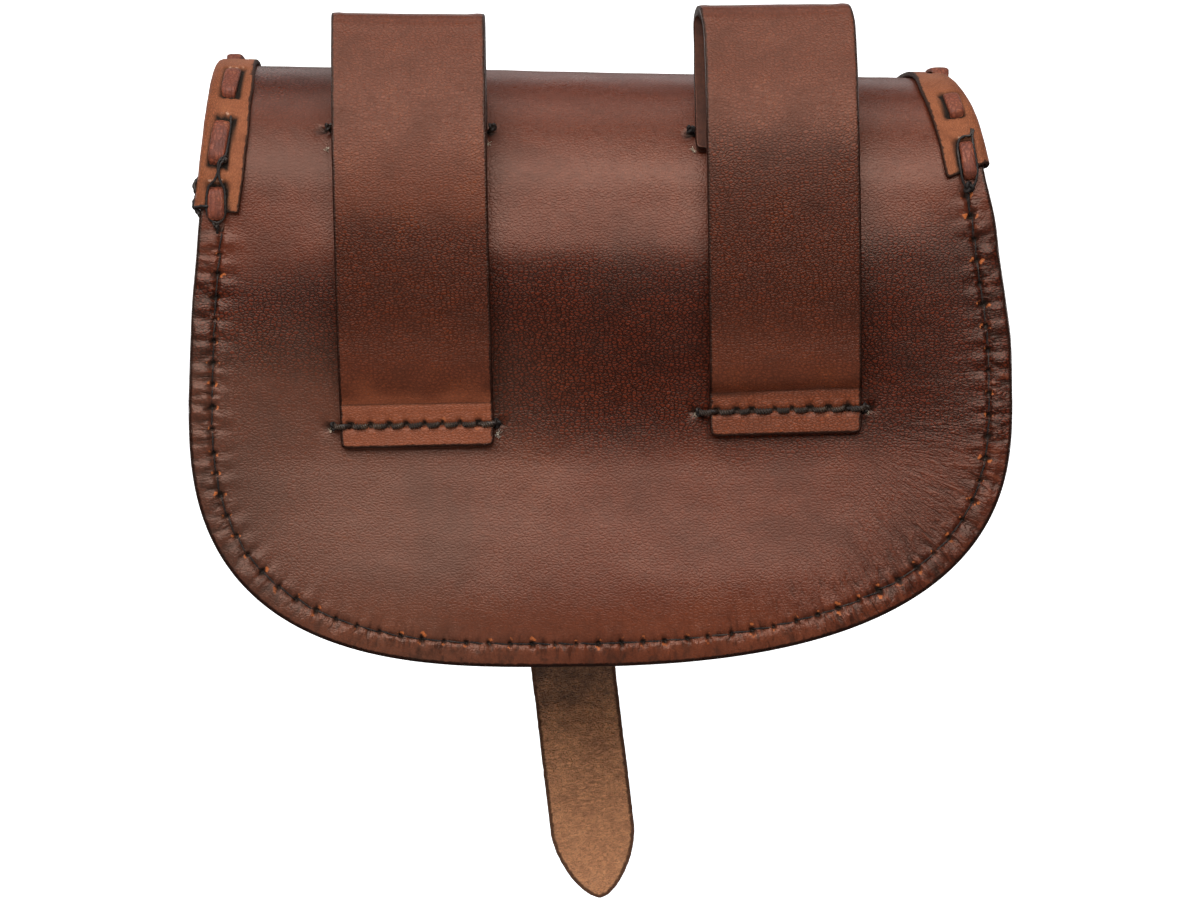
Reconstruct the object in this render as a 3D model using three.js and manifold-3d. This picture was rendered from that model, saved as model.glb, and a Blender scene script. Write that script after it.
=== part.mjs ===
// Leather belt pouch with two belt loops, a laced flap and a buckled closing strap.
//
// Millimetres, +Z up. The back of the pouch, with the belt loops, faces -Y, and the flap
// closes over the front, which faces +Y. The origin is midway between the two loops, at the
// underside of their top folds, where the pouch hangs on the top edge of a belt.
//
// The main piece is a single pattern of leather. A place on it is given by x, across the
// pouch, and `along`, the distance along the leather from the line where the back starts to
// bend over the top: negative down the back, positive over the top and down the flap.

import * as THREE from 'three';
import { mergeVertices } from 'three/addons/utils/BufferGeometryUtils.js';
import Module from 'manifold-3d';

const wasm = await Module();
wasm.setup();

// ---------------------------------------------------------------- driving dimensions

const GAP = 0.3; // air left between two pieces that lie on each other

// The leather of the back and the flap.
const BODY_WALL = 2.0;
const BACK_Y = -3.5; // outer face of the back
const FOLD_Z = -38.2; // height at which the back starts to bend over the top
const FOLD_RADIUS = 29; // outer radius of the top
const FLAP_LEAN = THREE.MathUtils.degToRad(2.5); // the flap leans back towards the pocket
const FOLD_TURN = Math.PI + FLAP_LEAN;
const FOLD_ALONG = FOLD_RADIUS * FOLD_TURN;
const FOLD_STEPS = 24;
const TOP_SLOPE = 0.019; // the top sinks towards the right end
const TOP_LEVEL_X = -20; // where it has its nominal height

// Side edges of the pattern, from the widest line of the back to the start of the flap's
// round end. The flap is cut narrower than the back and runs a little to one side.
const SIDE_EDGES = [
  { along: -46, left: -90.6, right: 90.8 },
  { along: -33, left: -90.2, right: 90.5 },
  { along: -24, left: -89.8, right: 89.4 },
  { along: -15, left: -89.0, right: 88.1 },
  { along: -6, left: -88.3, right: 87.0 },
  { along: 3, left: -87.1, right: 85.0 },
  { along: 12, left: -86.3, right: 83.5 },
  { along: 23, left: -85.6, right: 81.1 },
  { along: 32, left: -85.2, right: 78.7 },
  { along: 45, left: -84.9, right: 75.8 },
  { along: 91, left: -87.5, right: 72.1 },
  { along: 109, left: -88.8, right: 70.6 },
];

// Round lower ends, each a superellipse that hangs from the side edges. `centre` is the x of
// its lowest point and `drop` its height.
const BACK_END = {
  along: -46, drop: 58.6, centre: -14, down: -1, roundness: { left: 2.71, right: 2.61 },
};
const FLAP_END = {
  along: 109, drop: 37.5, centre: -9, down: 1, roundness: { left: 2.6, right: 2.6 },
};

// How far the outer face stands out from its plain profile, down the middle of the pattern.
const SWELLING = [
  { along: -105, out: 0 },
  { along: -101, out: 1.1 },
  { along: -97, out: 1.9 },
  { along: -92, out: 2.2 },
  { along: -86, out: 1.9 },
  { along: -78, out: 0.9 },
  { along: -70, out: -0.2 },
  { along: -64, out: -0.9 },
  { along: -58, out: -1.5 },
  { along: -50, out: -1.5 },
  { along: -42, out: -0.8 },
  { along: -33, out: 0.5 },
  { along: -24, out: 1.7 },
  { along: -18, out: 2.2 },
  { along: -13, out: 2.3 },
  { along: -8, out: 1.9 },
  { along: -2, out: 1.2 },
  { along: 5, out: 0.5 },
  { along: 12, out: 0 },
  { along: 45, out: 0 },
  { along: 75, out: 1.2 },
  { along: 110, out: 2 },
  { along: 150, out: 2 },
];
const SWELL_REACH = 86; // half the width over which the leather stands out

// The pocket: a gusset strip with a sewing flange on each side, and the front panel.
const GUSSET_WALL = 1.6;
const GUSSET_INSET = 0.4; // the flange's edge inside the edge of the back
const FLANGE = 6.2;
const GUSSET_TOP = { left: -43.4, right: -36.2 };
const FRONT_Y = 48; // outer face of the front panel
const FRONT_WALL = 1.8;
const MOUTH_Z = -47; // top edge of the front panel at its sides
const MOUTH_DIP = 4; // how much lower that edge is in the middle
const FRONT_SWELL = 2.2;

// Binding folded round the flap's edge.
const BINDING_WALL = 1.2;
const BINDING_OUTER_LEG = 8.8;
const BINDING_INNER_LEG = 7.4;
const BINDING_END = { left: -3.8, right: 4.1 }; // along the pattern

// Belt loops: a strap sewn on under the top, folded over and sewn on again lower down.
const LOOP_WALL = 2.2;
const LOOP_SEAT = 0.5; // gap between a loop and the curved leather that it is sewn to
const LOOP_FOLD = 2.5; // inner radius of the fold
const LOOP_INNER_END = 9; // end of the inner leg, along the pattern
const LOOP_CREASE = 5; // height of the sewn stretch above the row of stitches
const LOOPS = [
  { name: 'belt_loop_left', top: -42.35, bottom: -40.1, width: 33.8, topZ: 1.4, stitchZ: -89.5,
    endZ: -94.4, topTilt: -0.018, endTilt: 0.022, twist: 0.0 },
  { name: 'belt_loop_right', top: 39.5, bottom: 40.9, width: 33.4, topZ: 3.1, stitchZ: -86.4,
    endZ: -91.6, topTilt: 0.033, endTilt: 0.026, twist: -2.2 },
];
const LOOP_BOW = [ // middle of the outer leg between its fold and its sewn end
  { z: -79, y: -7.2 },
  { z: -69, y: -9.1 },
  { z: -58, y: -10.7 },
  { z: -46, y: -11.7 },
  { z: -36, y: -11.8 },
  { z: -27, y: -10.9 },
  { z: -18, y: -8.9 },
  { z: -9, y: -5.9 },
];
const LOOP_INNER_LEG = [ // middle of the inner leg between its sewn end and the fold
  { y: 3.0, z: -14.5 },
  { y: 3.8, z: -8.5 },
];

// Closing strap. `rise` is measured along the strap, up from its point.
const STRAP_WALL = 2.2;
const STRAP_WIDTH = 19.6;
const STRAP_POINT = { x: 0.2, z: -199.6 };
const STRAP_TILT = THREE.MathUtils.degToRad(6.85);
const STRAP_LENGTH = 130;
const POINT_LENGTH = 17;
const HANG_Y = 58.2; // middle of the tail that hangs free
const STRAP_ROUTE = [ // its middle; `out` is measured from what the row lies on
  { rise: 0, on: 'hanging', out: -0.8 },
  { rise: 25, on: 'hanging', out: -0.4 },
  { rise: 50, on: 'hanging', out: 0 },
  { rise: 68, on: 'hanging', out: 0.5 },
  { rise: 77.5, on: 'heel', out: 4.8 },
  { rise: 81.7, on: 'heel', out: 4.6 },
  { rise: 86.8, on: 'heel', out: 1.8 },
  { rise: 91, on: 'pocket', out: 1.8 },
  { rise: 94.5, on: 'pocket', out: 1.9 },
  { rise: 102.4, on: 'binding', out: 1.7 },
  { rise: 107, on: 'binding', out: 1.7 },
  { rise: 115.6, on: 'binding', out: 1.6 },
  { rise: 120.5, on: 'flap', out: 1.5 },
  { rise: 124, on: 'flap', out: 1.5 },
  { rise: 130, on: 'flap', out: 1.5 },
];

// Buckle, one plain solid, with its heel bar in the folded tab.
const BAR = 1.5; // radius of the wire
const BUCKLE_HALF_WIDTH = 12; // middle of the side bars
const HEEL = { rise: 77.5, y: 53.7 };
const TOP_BAR = { rise: 94.0, y: 55.0 };
const BUCKLE_CORNER = 3.2;
const PRONG = 1.1; // radius
const PRONG_ROUTE = [ // from the heel bar over the top bar
  { rise: 77.5, y: 53.9 },
  { rise: 81.5, y: 55.3 },
  { rise: 86.2, y: 55.9 },
  { rise: 91, y: 57.2 },
  { rise: 94, y: 57.2 },
  { rise: 95.6, y: 56.6 },
];
const USED_HOLE = { rise: 86.2, length: 7.2 };
const HOLE_RADIUS = 1.6;
const SPARE_HOLES = [72, 59];

const TAB_WALL = 1.6;
const TAB_WIDTH = 15.6;
const TAB_END_RISE = 63.5;
const TAB_SLOT = 5.6;
const TAB_CLOSING = [ // how far the front layer stands from the back layer below the heel bar
  { rise: 73.8, apart: 4.3 },
  { rise: 70.5, apart: 2.9 },
  { rise: 67, apart: 2.0 },
  { rise: 64.5, apart: 1.9 },
];

const COLOURS = {
  brown: new THREE.MeshStandardMaterial({ color: 0x6b3d2e, roughness: 0.42, metalness: 0 }),
  loop: new THREE.MeshStandardMaterial({ color: 0x7a4837, roughness: 0.5, metalness: 0 }),
  tan: new THREE.MeshStandardMaterial({ color: 0x97583b, roughness: 0.6, metalness: 0 }),
  suede: new THREE.MeshStandardMaterial({ color: 0x8b5e42, roughness: 0.85, metalness: 0 }),
  brass: new THREE.MeshStandardMaterial({ color: 0x9a7a43, roughness: 0.35, metalness: 1 }),
};

// ---------------------------------------------------------------- curves and tables

// Smooth value of one column of a table whose rows are in the order of their `key` column.
function readTable(rows, key, column, at) {
  const last = rows.length - 1;
  if (at <= rows[0][key]) {
    return rows[0][column];
  }
  if (at >= rows[last][key]) {
    return rows[last][column];
  }
  const row = rows.findIndex((entry) => entry[key] > at) - 1;
  const slope = (index) => {
    const before = rows[Math.max(index - 1, 0)];
    const after = rows[Math.min(index + 1, last)];
    return (after[column] - before[column]) / (after[key] - before[key]);
  };
  const span = rows[row + 1][key] - rows[row][key];
  const part = (at - rows[row][key]) / span;
  const square = part * part;
  const cube = square * part;
  return rows[row][column] * (2 * cube - 3 * square + 1)
    + rows[row + 1][column] * (3 * square - 2 * cube)
    + slope(row) * span * (cube - 2 * square + part)
    + slope(row + 1) * span * (cube - square);
}

const signedPower = (value, power) => Math.sign(value) * Math.abs(value) ** power;

// Left or right edge of the pattern, between its two round ends.
const sideEdge = (side, along) => readTable(SIDE_EDGES, 'along', side, along);

// Point of a round end. `turn` goes from 0 at the right edge to PI at the left edge.
function roundEnd(end, turn) {
  const side = Math.cos(turn) >= 0 ? 'right' : 'left';
  const reach = Math.abs(sideEdge(side, end.along) - end.centre);
  const power = 2 / end.roundness[side];
  return new THREE.Vector2(
    end.centre + reach * signedPower(Math.cos(turn), power),
    end.along + end.down * end.drop * signedPower(Math.sin(turn), power),
  );
}

// Point inside a round end: a patch between the curved edge and the straight line above it.
// `across` goes from 0 at the left to 1 at the right, `up` from 0 at the curve to 1 at the line.
function insideRoundEnd(end, across, up) {
  const corner = Math.PI / 4;
  const curve = roundEnd(end, Math.PI - corner - across * 2 * corner);
  const left = roundEnd(end, Math.PI - corner * (1 - up));
  const right = roundEnd(end, corner * (1 - up));
  const lowLeft = roundEnd(end, Math.PI - corner);
  const lowRight = roundEnd(end, corner);
  const topLeft = roundEnd(end, Math.PI);
  const topRight = roundEnd(end, 0);
  const line = topLeft.clone().lerp(topRight, across);
  const low = lowLeft.clone().lerp(lowRight, across);
  return curve.clone().multiplyScalar(1 - up)
    .addScaledVector(line, up)
    .add(left.clone().lerp(right, across))
    .addScaledVector(low, up - 1)
    .addScaledVector(line, -up);
}

// ---------------------------------------------------------------- the shape of the leather

// Side profile of the main piece: a point of its plain outer face and the way it faces.
function sideProfile(along) {
  const turn = THREE.MathUtils.clamp(along / FOLD_RADIUS, 0, FOLD_TURN);
  const facing = new THREE.Vector3(0, -Math.cos(turn), Math.sin(turn));
  const point = new THREE.Vector3(0, BACK_Y + FOLD_RADIUS, FOLD_Z);
  point.addScaledVector(facing, FOLD_RADIUS);
  const straight = along - turn * FOLD_RADIUS;
  point.y += straight * facing.z;
  point.z -= straight * facing.y;
  return { point, facing };
}

function swelling(x, along) {
  const reach = Math.min(Math.abs(x) / SWELL_REACH, 1);
  return readTable(SWELLING, 'along', 'out', along) * (1 - reach ** 4);
}

// A place on the finished main piece, `lift` above its outer face.
function onLeather(x, along, lift) {
  const { point, facing } = sideProfile(along);
  point.x = x;
  point.z -= TOP_SLOPE * (x - TOP_LEVEL_X) * Math.max(facing.z, 0);
  return point.addScaledVector(facing, lift + swelling(x, along));
}

// The outer face of the front panel, at x and z.
function frontFace(x, z) {
  const reach = Math.min(Math.abs(x) / SWELL_REACH, 1);
  const low = FOLD_Z + BACK_END.along - BACK_END.drop;
  const height = THREE.MathUtils.clamp((z - low) / (MOUTH_Z - low), 0, 1);
  const rounded = 1 - (2 * height - 1) ** 4;
  return FRONT_Y + FRONT_SWELL * (1 - reach ** 4) * Math.max(rounded, 0.35 * height);
}

// ---------------------------------------------------------------- solids

// A closed body from its points and faces, turned so that the faces point outwards.
function closedBody(points, faces) {
  const cross = new THREE.Vector3();
  let volume = 0;
  for (const [a, b, c] of faces) {
    volume += points[a].dot(cross.crossVectors(points[b], points[c])) / 6;
  }
  const order = volume < 0 ? faces.map(([a, b, c]) => [a, c, b]) : faces;
  const geometry = new THREE.BufferGeometry();
  const positions = points.flatMap((point) => point.toArray());
  geometry.setAttribute('position', new THREE.Float32BufferAttribute(positions, 3));
  geometry.setIndex(order.flat());
  return geometry;
}

const quad = (a, b, c, d) => [[a, b, c], [a, c, d]];

// A sheet of even thickness. `pointAt(across, along, depth)` gives its points, with the first
// two from 0 to 1 and depth either 0, its face, or the thickness, its back.
function sheet(columns, rows, thickness, pointAt) {
  const points = [];
  for (const depth of [0, thickness]) {
    for (let row = 0; row <= rows; row += 1) {
      for (let column = 0; column <= columns; column += 1) {
        points.push(pointAt(column / columns, row / rows, depth));
      }
    }
  }
  const index = (side, row, column) => (side * (rows + 1) + row) * (columns + 1) + column;
  const faces = [];
  for (let row = 0; row < rows; row += 1) {
    for (let column = 0; column < columns; column += 1) {
      faces.push(...quad(index(0, row, column), index(0, row, column + 1),
        index(0, row + 1, column + 1), index(0, row + 1, column)));
      faces.push(...quad(index(1, row, column), index(1, row + 1, column),
        index(1, row + 1, column + 1), index(1, row, column + 1)));
    }
    faces.push(...quad(index(0, row, 0), index(0, row + 1, 0),
      index(1, row + 1, 0), index(1, row, 0)));
    faces.push(...quad(index(0, row, columns), index(1, row, columns),
      index(1, row + 1, columns), index(0, row + 1, columns)));
  }
  for (let column = 0; column < columns; column += 1) {
    faces.push(...quad(index(0, 0, column), index(1, 0, column),
      index(1, 0, column + 1), index(0, 0, column + 1)));
    faces.push(...quad(index(0, rows, column), index(0, rows, column + 1),
      index(1, rows, column + 1), index(1, rows, column)));
  }
  return closedBody(points, faces);
}

// A closed section carried through stations. `place(station, corner)` gives the point of one
// corner of the section at one station; the two ends are closed with flat faces.
function sweep(section, stations, place) {
  const points = stations.flatMap((station) => section.map((corner) => place(station, corner)));
  const size = section.length;
  const faces = [];
  for (let step = 0; step < stations.length - 1; step += 1) {
    for (let corner = 0; corner < size; corner += 1) {
      const next = (corner + 1) % size;
      faces.push(...quad(step * size + corner, step * size + next,
        (step + 1) * size + next, (step + 1) * size + corner));
    }
  }
  const outline = section.map((corner) => new THREE.Vector2(corner[0], corner[1]));
  const far = (stations.length - 1) * size;
  const clockwise = THREE.ShapeUtils.isClockWise(outline);
  for (const [a, b, c] of THREE.ShapeUtils.triangulateShape(outline, [])) {
    const [second, third] = clockwise ? [c, b] : [b, c];
    faces.push(clockwise ? [a, second, third] : [a, third, second]);
    faces.push(clockwise ? [far + a, far + third, far + second]
      : [far + a, far + second, far + third]);
  }
  return closedBody(points, faces);
}

// A round wire through a row of points, which may come back to its start.
function wire(points, closed, radius, sides) {
  const count = points.length;
  const middle = (index) => points[(index + count) % count];
  const ring = [];
  for (let index = 0; index < count; index += 1) {
    const before = closed || index > 0 ? middle(index - 1) : middle(index);
    const after = closed || index < count - 1 ? middle(index + 1) : middle(index);
    const forward = after.clone().sub(before).normalize();
    const out = new THREE.Vector3(0, 1, 0);
    out.addScaledVector(forward, -out.dot(forward)).normalize();
    const sidewise = forward.clone().cross(out);
    for (let side = 0; side < sides; side += 1) {
      const angle = (2 * Math.PI * side) / sides;
      ring.push(middle(index).clone()
        .addScaledVector(out, radius * Math.cos(angle))
        .addScaledVector(sidewise, radius * Math.sin(angle)));
    }
  }
  const faces = [];
  for (let index = 0; index < (closed ? count : count - 1); index += 1) {
    const next = (index + 1) % count;
    for (let side = 0; side < sides; side += 1) {
      const turned = (side + 1) % sides;
      faces.push(...quad(index * sides + side, index * sides + turned,
        next * sides + turned, next * sides + side));
    }
  }
  if (!closed) {
    for (let side = 1; side < sides - 1; side += 1) {
      faces.push([0, side + 1, side]);
      const far = (count - 1) * sides;
      faces.push([far, far + side, far + side + 1]);
    }
  }
  return closedBody(ring, faces);
}

// ---------------------------------------------------------------- joining and cutting

function toSolid(geometry) {
  const plain = geometry.clone();
  plain.deleteAttribute('normal');
  plain.deleteAttribute('uv');
  const merged = mergeVertices(plain, 1e-5);
  return new wasm.Manifold(new wasm.Mesh({
    numProp: 3,
    vertProperties: new Float32Array(merged.attributes.position.array),
    triVerts: new Uint32Array(merged.index.array),
  }));
}

function toGeometry(solid) {
  const mesh = solid.getMesh();
  const geometry = new THREE.BufferGeometry();
  geometry.setAttribute('position', new THREE.BufferAttribute(mesh.vertProperties, 3));
  geometry.setIndex(new THREE.BufferAttribute(mesh.triVerts, 1));
  return geometry;
}

const cut = (geometry, tools) => toGeometry(
  tools.reduce((solid, tool) => solid.subtract(toSolid(tool)), toSolid(geometry)),
);
const join = (first, second) => toGeometry(toSolid(first).add(toSolid(second)));

// ---------------------------------------------------------------- main piece

const COLUMNS = 16;
const BACK_END_ROWS = 9;
const BACK_ROWS = 9;
const FLAP_ROWS = 3;
const FLAP_END_ROWS = COLUMNS / 2; // the binding's steps fall on the flap's own

// Rows of the pattern, from the bottom of the back to the end of the flap.
function patternRows() {
  const rows = [];
  for (let step = 0; step < BACK_END_ROWS; step += 1) {
    const up = (step / BACK_END_ROWS) ** 1.25;
    rows.push((across) => insideRoundEnd(BACK_END, across, up));
  }
  const straight = [];
  for (let step = 0; step < BACK_ROWS; step += 1) {
    straight.push(BACK_END.along * (1 - step / BACK_ROWS));
  }
  for (let step = 0; step < FOLD_STEPS; step += 1) {
    straight.push((FOLD_ALONG * step) / FOLD_STEPS);
  }
  for (let step = 0; step < FLAP_ROWS; step += 1) {
    straight.push(FOLD_ALONG + ((FLAP_END.along - FOLD_ALONG) * step) / FLAP_ROWS);
  }
  for (const along of straight) {
    const left = new THREE.Vector2(sideEdge('left', along), along);
    const right = new THREE.Vector2(sideEdge('right', along), along);
    rows.push((across) => left.clone().lerp(right, across));
  }
  for (let step = 0; step <= FLAP_END_ROWS; step += 1) {
    const up = 1 - step / FLAP_END_ROWS;
    rows.push((across) => insideRoundEnd(FLAP_END, across, up));
  }
  return rows;
}

function backAndFlap() {
  const rows = patternRows();
  const last = rows.length - 1;
  return sheet(COLUMNS, last, BODY_WALL, (across, part, depth) => {
    const place = rows[Math.round(part * last)](across);
    return onLeather(place.x, place.y, -depth);
  });
}

// ---------------------------------------------------------------- pocket

// Points of the outline of the back, from its left side round the bottom to its right side,
// each with the direction that points into the leather.
function outline(places) {
  return places.map((place, index) => {
    const before = places[Math.max(index - 1, 0)];
    const after = places[Math.min(index + 1, places.length - 1)];
    const forward = after.clone().sub(before).normalize();
    return { place, inward: new THREE.Vector2(-forward.y, forward.x) };
  });
}

// Places down one side edge, both ends included, with `steps` even steps between them.
function downSide(side, from, to, steps) {
  const places = [];
  for (let step = 0; step <= steps; step += 1) {
    const along = from + ((to - from) * step) / steps;
    places.push(new THREE.Vector2(sideEdge(side, along), along));
  }
  return places;
}

// Places round a round end from the left edge to the right, without its two ends.
function roundBottom(end, steps) {
  const places = [];
  for (let step = 1; step < steps; step += 1) {
    places.push(roundEnd(end, Math.PI * (1 - step / steps)));
  }
  return places;
}

function gusset() {
  const line = outline([
    ...downSide('left', GUSSET_TOP.left - FOLD_Z, BACK_END.along, 5),
    ...roundBottom(BACK_END, 36),
    ...downSide('right', BACK_END.along, GUSSET_TOP.right - FOLD_Z, 6),
  ]);
  const back = BACK_Y + BODY_WALL + GAP;
  const front = FRONT_Y - FRONT_WALL - GAP;
  const edge = GUSSET_INSET;
  const outer = GUSSET_INSET + FLANGE;
  const inner = outer + GUSSET_WALL;
  const bend = 1.2;
  const section = [
    [edge, back], [inner - bend, back], [inner, back + bend],
    [inner, front - bend], [inner - bend, front], [edge, front],
    [edge, front - GUSSET_WALL], [outer, front - GUSSET_WALL],
    [outer, back + GUSSET_WALL], [edge, back + GUSSET_WALL],
  ];
  return sweep(section, line, ({ place, inward }, [depth, y]) => new THREE.Vector3(
    place.x + inward.x * depth,
    y,
    FOLD_Z + place.y + inward.y * depth,
  ));
}

function frontPanel() {
  const endRows = 9;
  const sideRows = 7;
  const top = MOUTH_Z - FOLD_Z;
  return sheet(14, endRows + sideRows, FRONT_WALL, (across, part, depth) => {
    const row = Math.round(part * (endRows + sideRows));
    let place;
    if (row < endRows) {
      place = insideRoundEnd(BACK_END, across, row / endRows);
    } else {
      const rise = (row - endRows) / sideRows;
      const along = BACK_END.along + (top - BACK_END.along) * rise;
      const left = sideEdge('left', along);
      const right = sideEdge('right', along);
      const dip = MOUTH_DIP * rise * (1 - (2 * across - 1) ** 4);
      place = new THREE.Vector2(THREE.MathUtils.lerp(left, right, across), along - dip);
    }
    const z = FOLD_Z + place.y;
    return new THREE.Vector3(place.x, frontFace(place.x, z) - depth, z);
  });
}

// ---------------------------------------------------------------- binding of the flap

function flapBinding() {
  const overTop = (side, end) => {
    const step = FOLD_ALONG / FOLD_STEPS;
    const first = Math.floor(BINDING_END[side] / step) + 1;
    const places = [new THREE.Vector2(sideEdge(side, end), end)];
    for (let count = first; count <= FOLD_STEPS; count += 1) {
      places.push(new THREE.Vector2(sideEdge(side, count * step), count * step));
    }
    return places;
  };
  const line = outline([
    ...overTop('left', BINDING_END.left),
    ...downSide('left', FOLD_ALONG, FLAP_END.along, FLAP_ROWS).slice(1),
    ...roundBottom(FLAP_END, 4 * FLAP_END_ROWS),
    ...downSide('right', FLAP_END.along, FOLD_ALONG, FLAP_ROWS),
    ...overTop('right', BINDING_END.right).reverse().slice(1),
  ]);
  const wrap = GAP + BINDING_WALL;
  const under = -BODY_WALL - GAP;
  const bend = 0.7;
  const section = [
    [BINDING_OUTER_LEG, GAP], [BINDING_OUTER_LEG, wrap], [bend - wrap, wrap],
    [-wrap, wrap - bend], [-wrap, under - BINDING_WALL + bend],
    [bend - wrap, under - BINDING_WALL], [BINDING_INNER_LEG, under - BINDING_WALL],
    [BINDING_INNER_LEG, under], [-GAP, under], [-GAP, GAP],
  ];
  // The flap's edge is followed the other way round, so its inward side is reversed.
  return sweep(section, line, ({ place, inward }, [depth, lift]) => onLeather(
    place.x - inward.x * depth,
    place.y - inward.y * depth,
    lift,
  ));
}

// ---------------------------------------------------------------- belt loops

// Middle line of a loop in its side view, from the end of the outer leg over the fold to the
// end of the inner leg.
function loopLine(loop) {
  const x = (loop.top + loop.bottom) / 2;
  const lift = LOOP_SEAT + LOOP_WALL / 2;
  const fold = LOOP_FOLD + LOOP_WALL / 2;
  const foldZ = loop.topZ - LOOP_WALL - LOOP_FOLD;
  const onBack = (z) => onLeather(x, z - FOLD_Z, lift);
  const points = [onBack(loop.endZ), onBack(loop.stitchZ), onBack(loop.stitchZ + LOOP_CREASE)];
  for (const { z, y } of LOOP_BOW) {
    points.push(new THREE.Vector3(x, y, z));
  }
  for (let step = 0; step <= 4; step += 1) {
    const turn = (Math.PI * (4 - step)) / 4;
    points.push(new THREE.Vector3(x, fold * Math.cos(turn), foldZ + fold * Math.sin(turn)));
  }
  for (const { y, z } of [...LOOP_INNER_LEG].reverse()) {
    points.push(new THREE.Vector3(x, y, z));
  }
  for (const along of [LOOP_INNER_END + 9, LOOP_INNER_END + 5, LOOP_INNER_END]) {
    points.push(onLeather(x, along, lift));
  }
  return new THREE.CatmullRomCurve3(points, false, 'centripetal');
}

function beltLoop(loop) {
  const line = loopLine(loop);
  const steps = 3 * (line.points.length - 1);
  const stations = [];
  for (let step = 0; step <= steps; step += 1) {
    const part = step / steps;
    const point = line.getPoint(part);
    const forward = line.getTangent(part);
    stations.push({ point, out: new THREE.Vector3(0, -forward.z, forward.y), part });
  }
  const half = loop.width / 2;
  const wall = LOOP_WALL / 2;
  const section = [[-half, -wall], [half, -wall], [half, wall], [-half, wall]];
  const height = loop.topZ - loop.endZ;
  return sweep(section, stations, ({ point, out, part }, [across, lift]) => {
    const raised = point.clone().addScaledVector(out, lift);
    const down = (loop.topZ - raised.z) / height;
    const inner = THREE.MathUtils.smoothstep(part, 0.5, 0.75);
    raised.x = THREE.MathUtils.lerp(loop.top, loop.bottom, down) + across + loop.twist * inner;
    const tilt = THREE.MathUtils.lerp(loop.topTilt, loop.endTilt, Math.min(down, 1));
    raised.z += across * tilt * (1 - inner);
    return raised;
  });
}

// ---------------------------------------------------------------- closing strap and buckle

// A place in the strap's own frame: `across` it, `rise` up from its point.
function onStrap(across, rise, y) {
  return new THREE.Vector3(
    STRAP_POINT.x + across * Math.cos(STRAP_TILT) - rise * Math.sin(STRAP_TILT),
    y,
    STRAP_POINT.z + across * Math.sin(STRAP_TILT) + rise * Math.cos(STRAP_TILT),
  );
}

// Along-pattern distance of a point of the flap at height z.
const flapAlong = (z) => FOLD_ALONG + (FOLD_Z - z) / Math.cos(FLAP_LEAN);

const pocketFace = (rise) => {
  const place = onStrap(0, rise, 0);
  return frontFace(place.x, place.z);
};

// Middle line of the strap, from its point up to the end that is sewn on the flap.
function strapLine() {
  const faces = {
    hanging: () => HANG_Y,
    heel: () => HEEL.y,
    pocket: (rise) => pocketFace(rise),
    flap: (rise) => {
      const { x, z } = onStrap(0, rise, 0);
      return onLeather(x, flapAlong(z), 0).y;
    },
    binding: (rise) => faces.flap(rise) + GAP + BINDING_WALL,
  };
  const points = STRAP_ROUTE.map(({ rise, on, out }) => onStrap(0, rise, faces[on](rise) + out));
  return new THREE.CatmullRomCurve3(points, false, 'centripetal');
}

function halfWidthOfStrap(rise) {
  const half = STRAP_WIDTH / 2;
  const fromEnd = Math.min(rise / POINT_LENGTH, 1);
  const pointed = (1 - (1 - fromEnd) ** 1.8) ** (1 / 1.5);
  const fromTop = THREE.MathUtils.clamp((STRAP_LENGTH - rise) / half, 0, 1);
  const rounded = Math.sqrt(1 - (1 - fromTop) ** 2);
  return Math.max(half * Math.min(pointed, rounded), 0.7);
}

// A cutter through the strap or the tab: an oblong or round bar along Y, centred at y.
function punch(rise, length, radius, y) {
  const reach = 7;
  const stretch = Math.max(length / 2 - radius, 0);
  const shape = new THREE.Shape();
  shape.absarc(0, stretch, radius, 0, Math.PI, false);
  shape.absarc(0, -stretch, radius, Math.PI, 2 * Math.PI, false);
  const bar = new THREE.ExtrudeGeometry(shape, {
    depth: 2 * reach, bevelEnabled: false, curveSegments: 6,
  });
  bar.translate(0, 0, -reach);
  bar.rotateX(Math.PI / 2);
  bar.rotateY(-STRAP_TILT);
  const place = onStrap(0, rise, y);
  bar.translate(place.x, place.y, place.z);
  return bar;
}

function closingStrap() {
  const line = strapLine();
  const rows = 60;
  const body = sheet(2, rows, STRAP_WALL, (across, part, depth) => {
    const middle = line.getPointAt(part);
    const forward = line.getTangentAt(part);
    const rise = (middle.z - STRAP_POINT.z) / Math.cos(STRAP_TILT);
    const wide = 2 * across - 1;
    const out = new THREE.Vector3(0, forward.z, -forward.y).normalize();
    const place = onStrap(wide * halfWidthOfStrap(rise), rise, middle.y);
    return place.addScaledVector(out, STRAP_WALL / 2 - depth);
  });
  const holes = SPARE_HOLES.map((rise) => punch(rise, 0, HOLE_RADIUS, HANG_Y));
  holes.push(punch(USED_HOLE.rise, USED_HOLE.length, HOLE_RADIUS, HEEL.y));
  return cut(body, holes);
}

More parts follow.
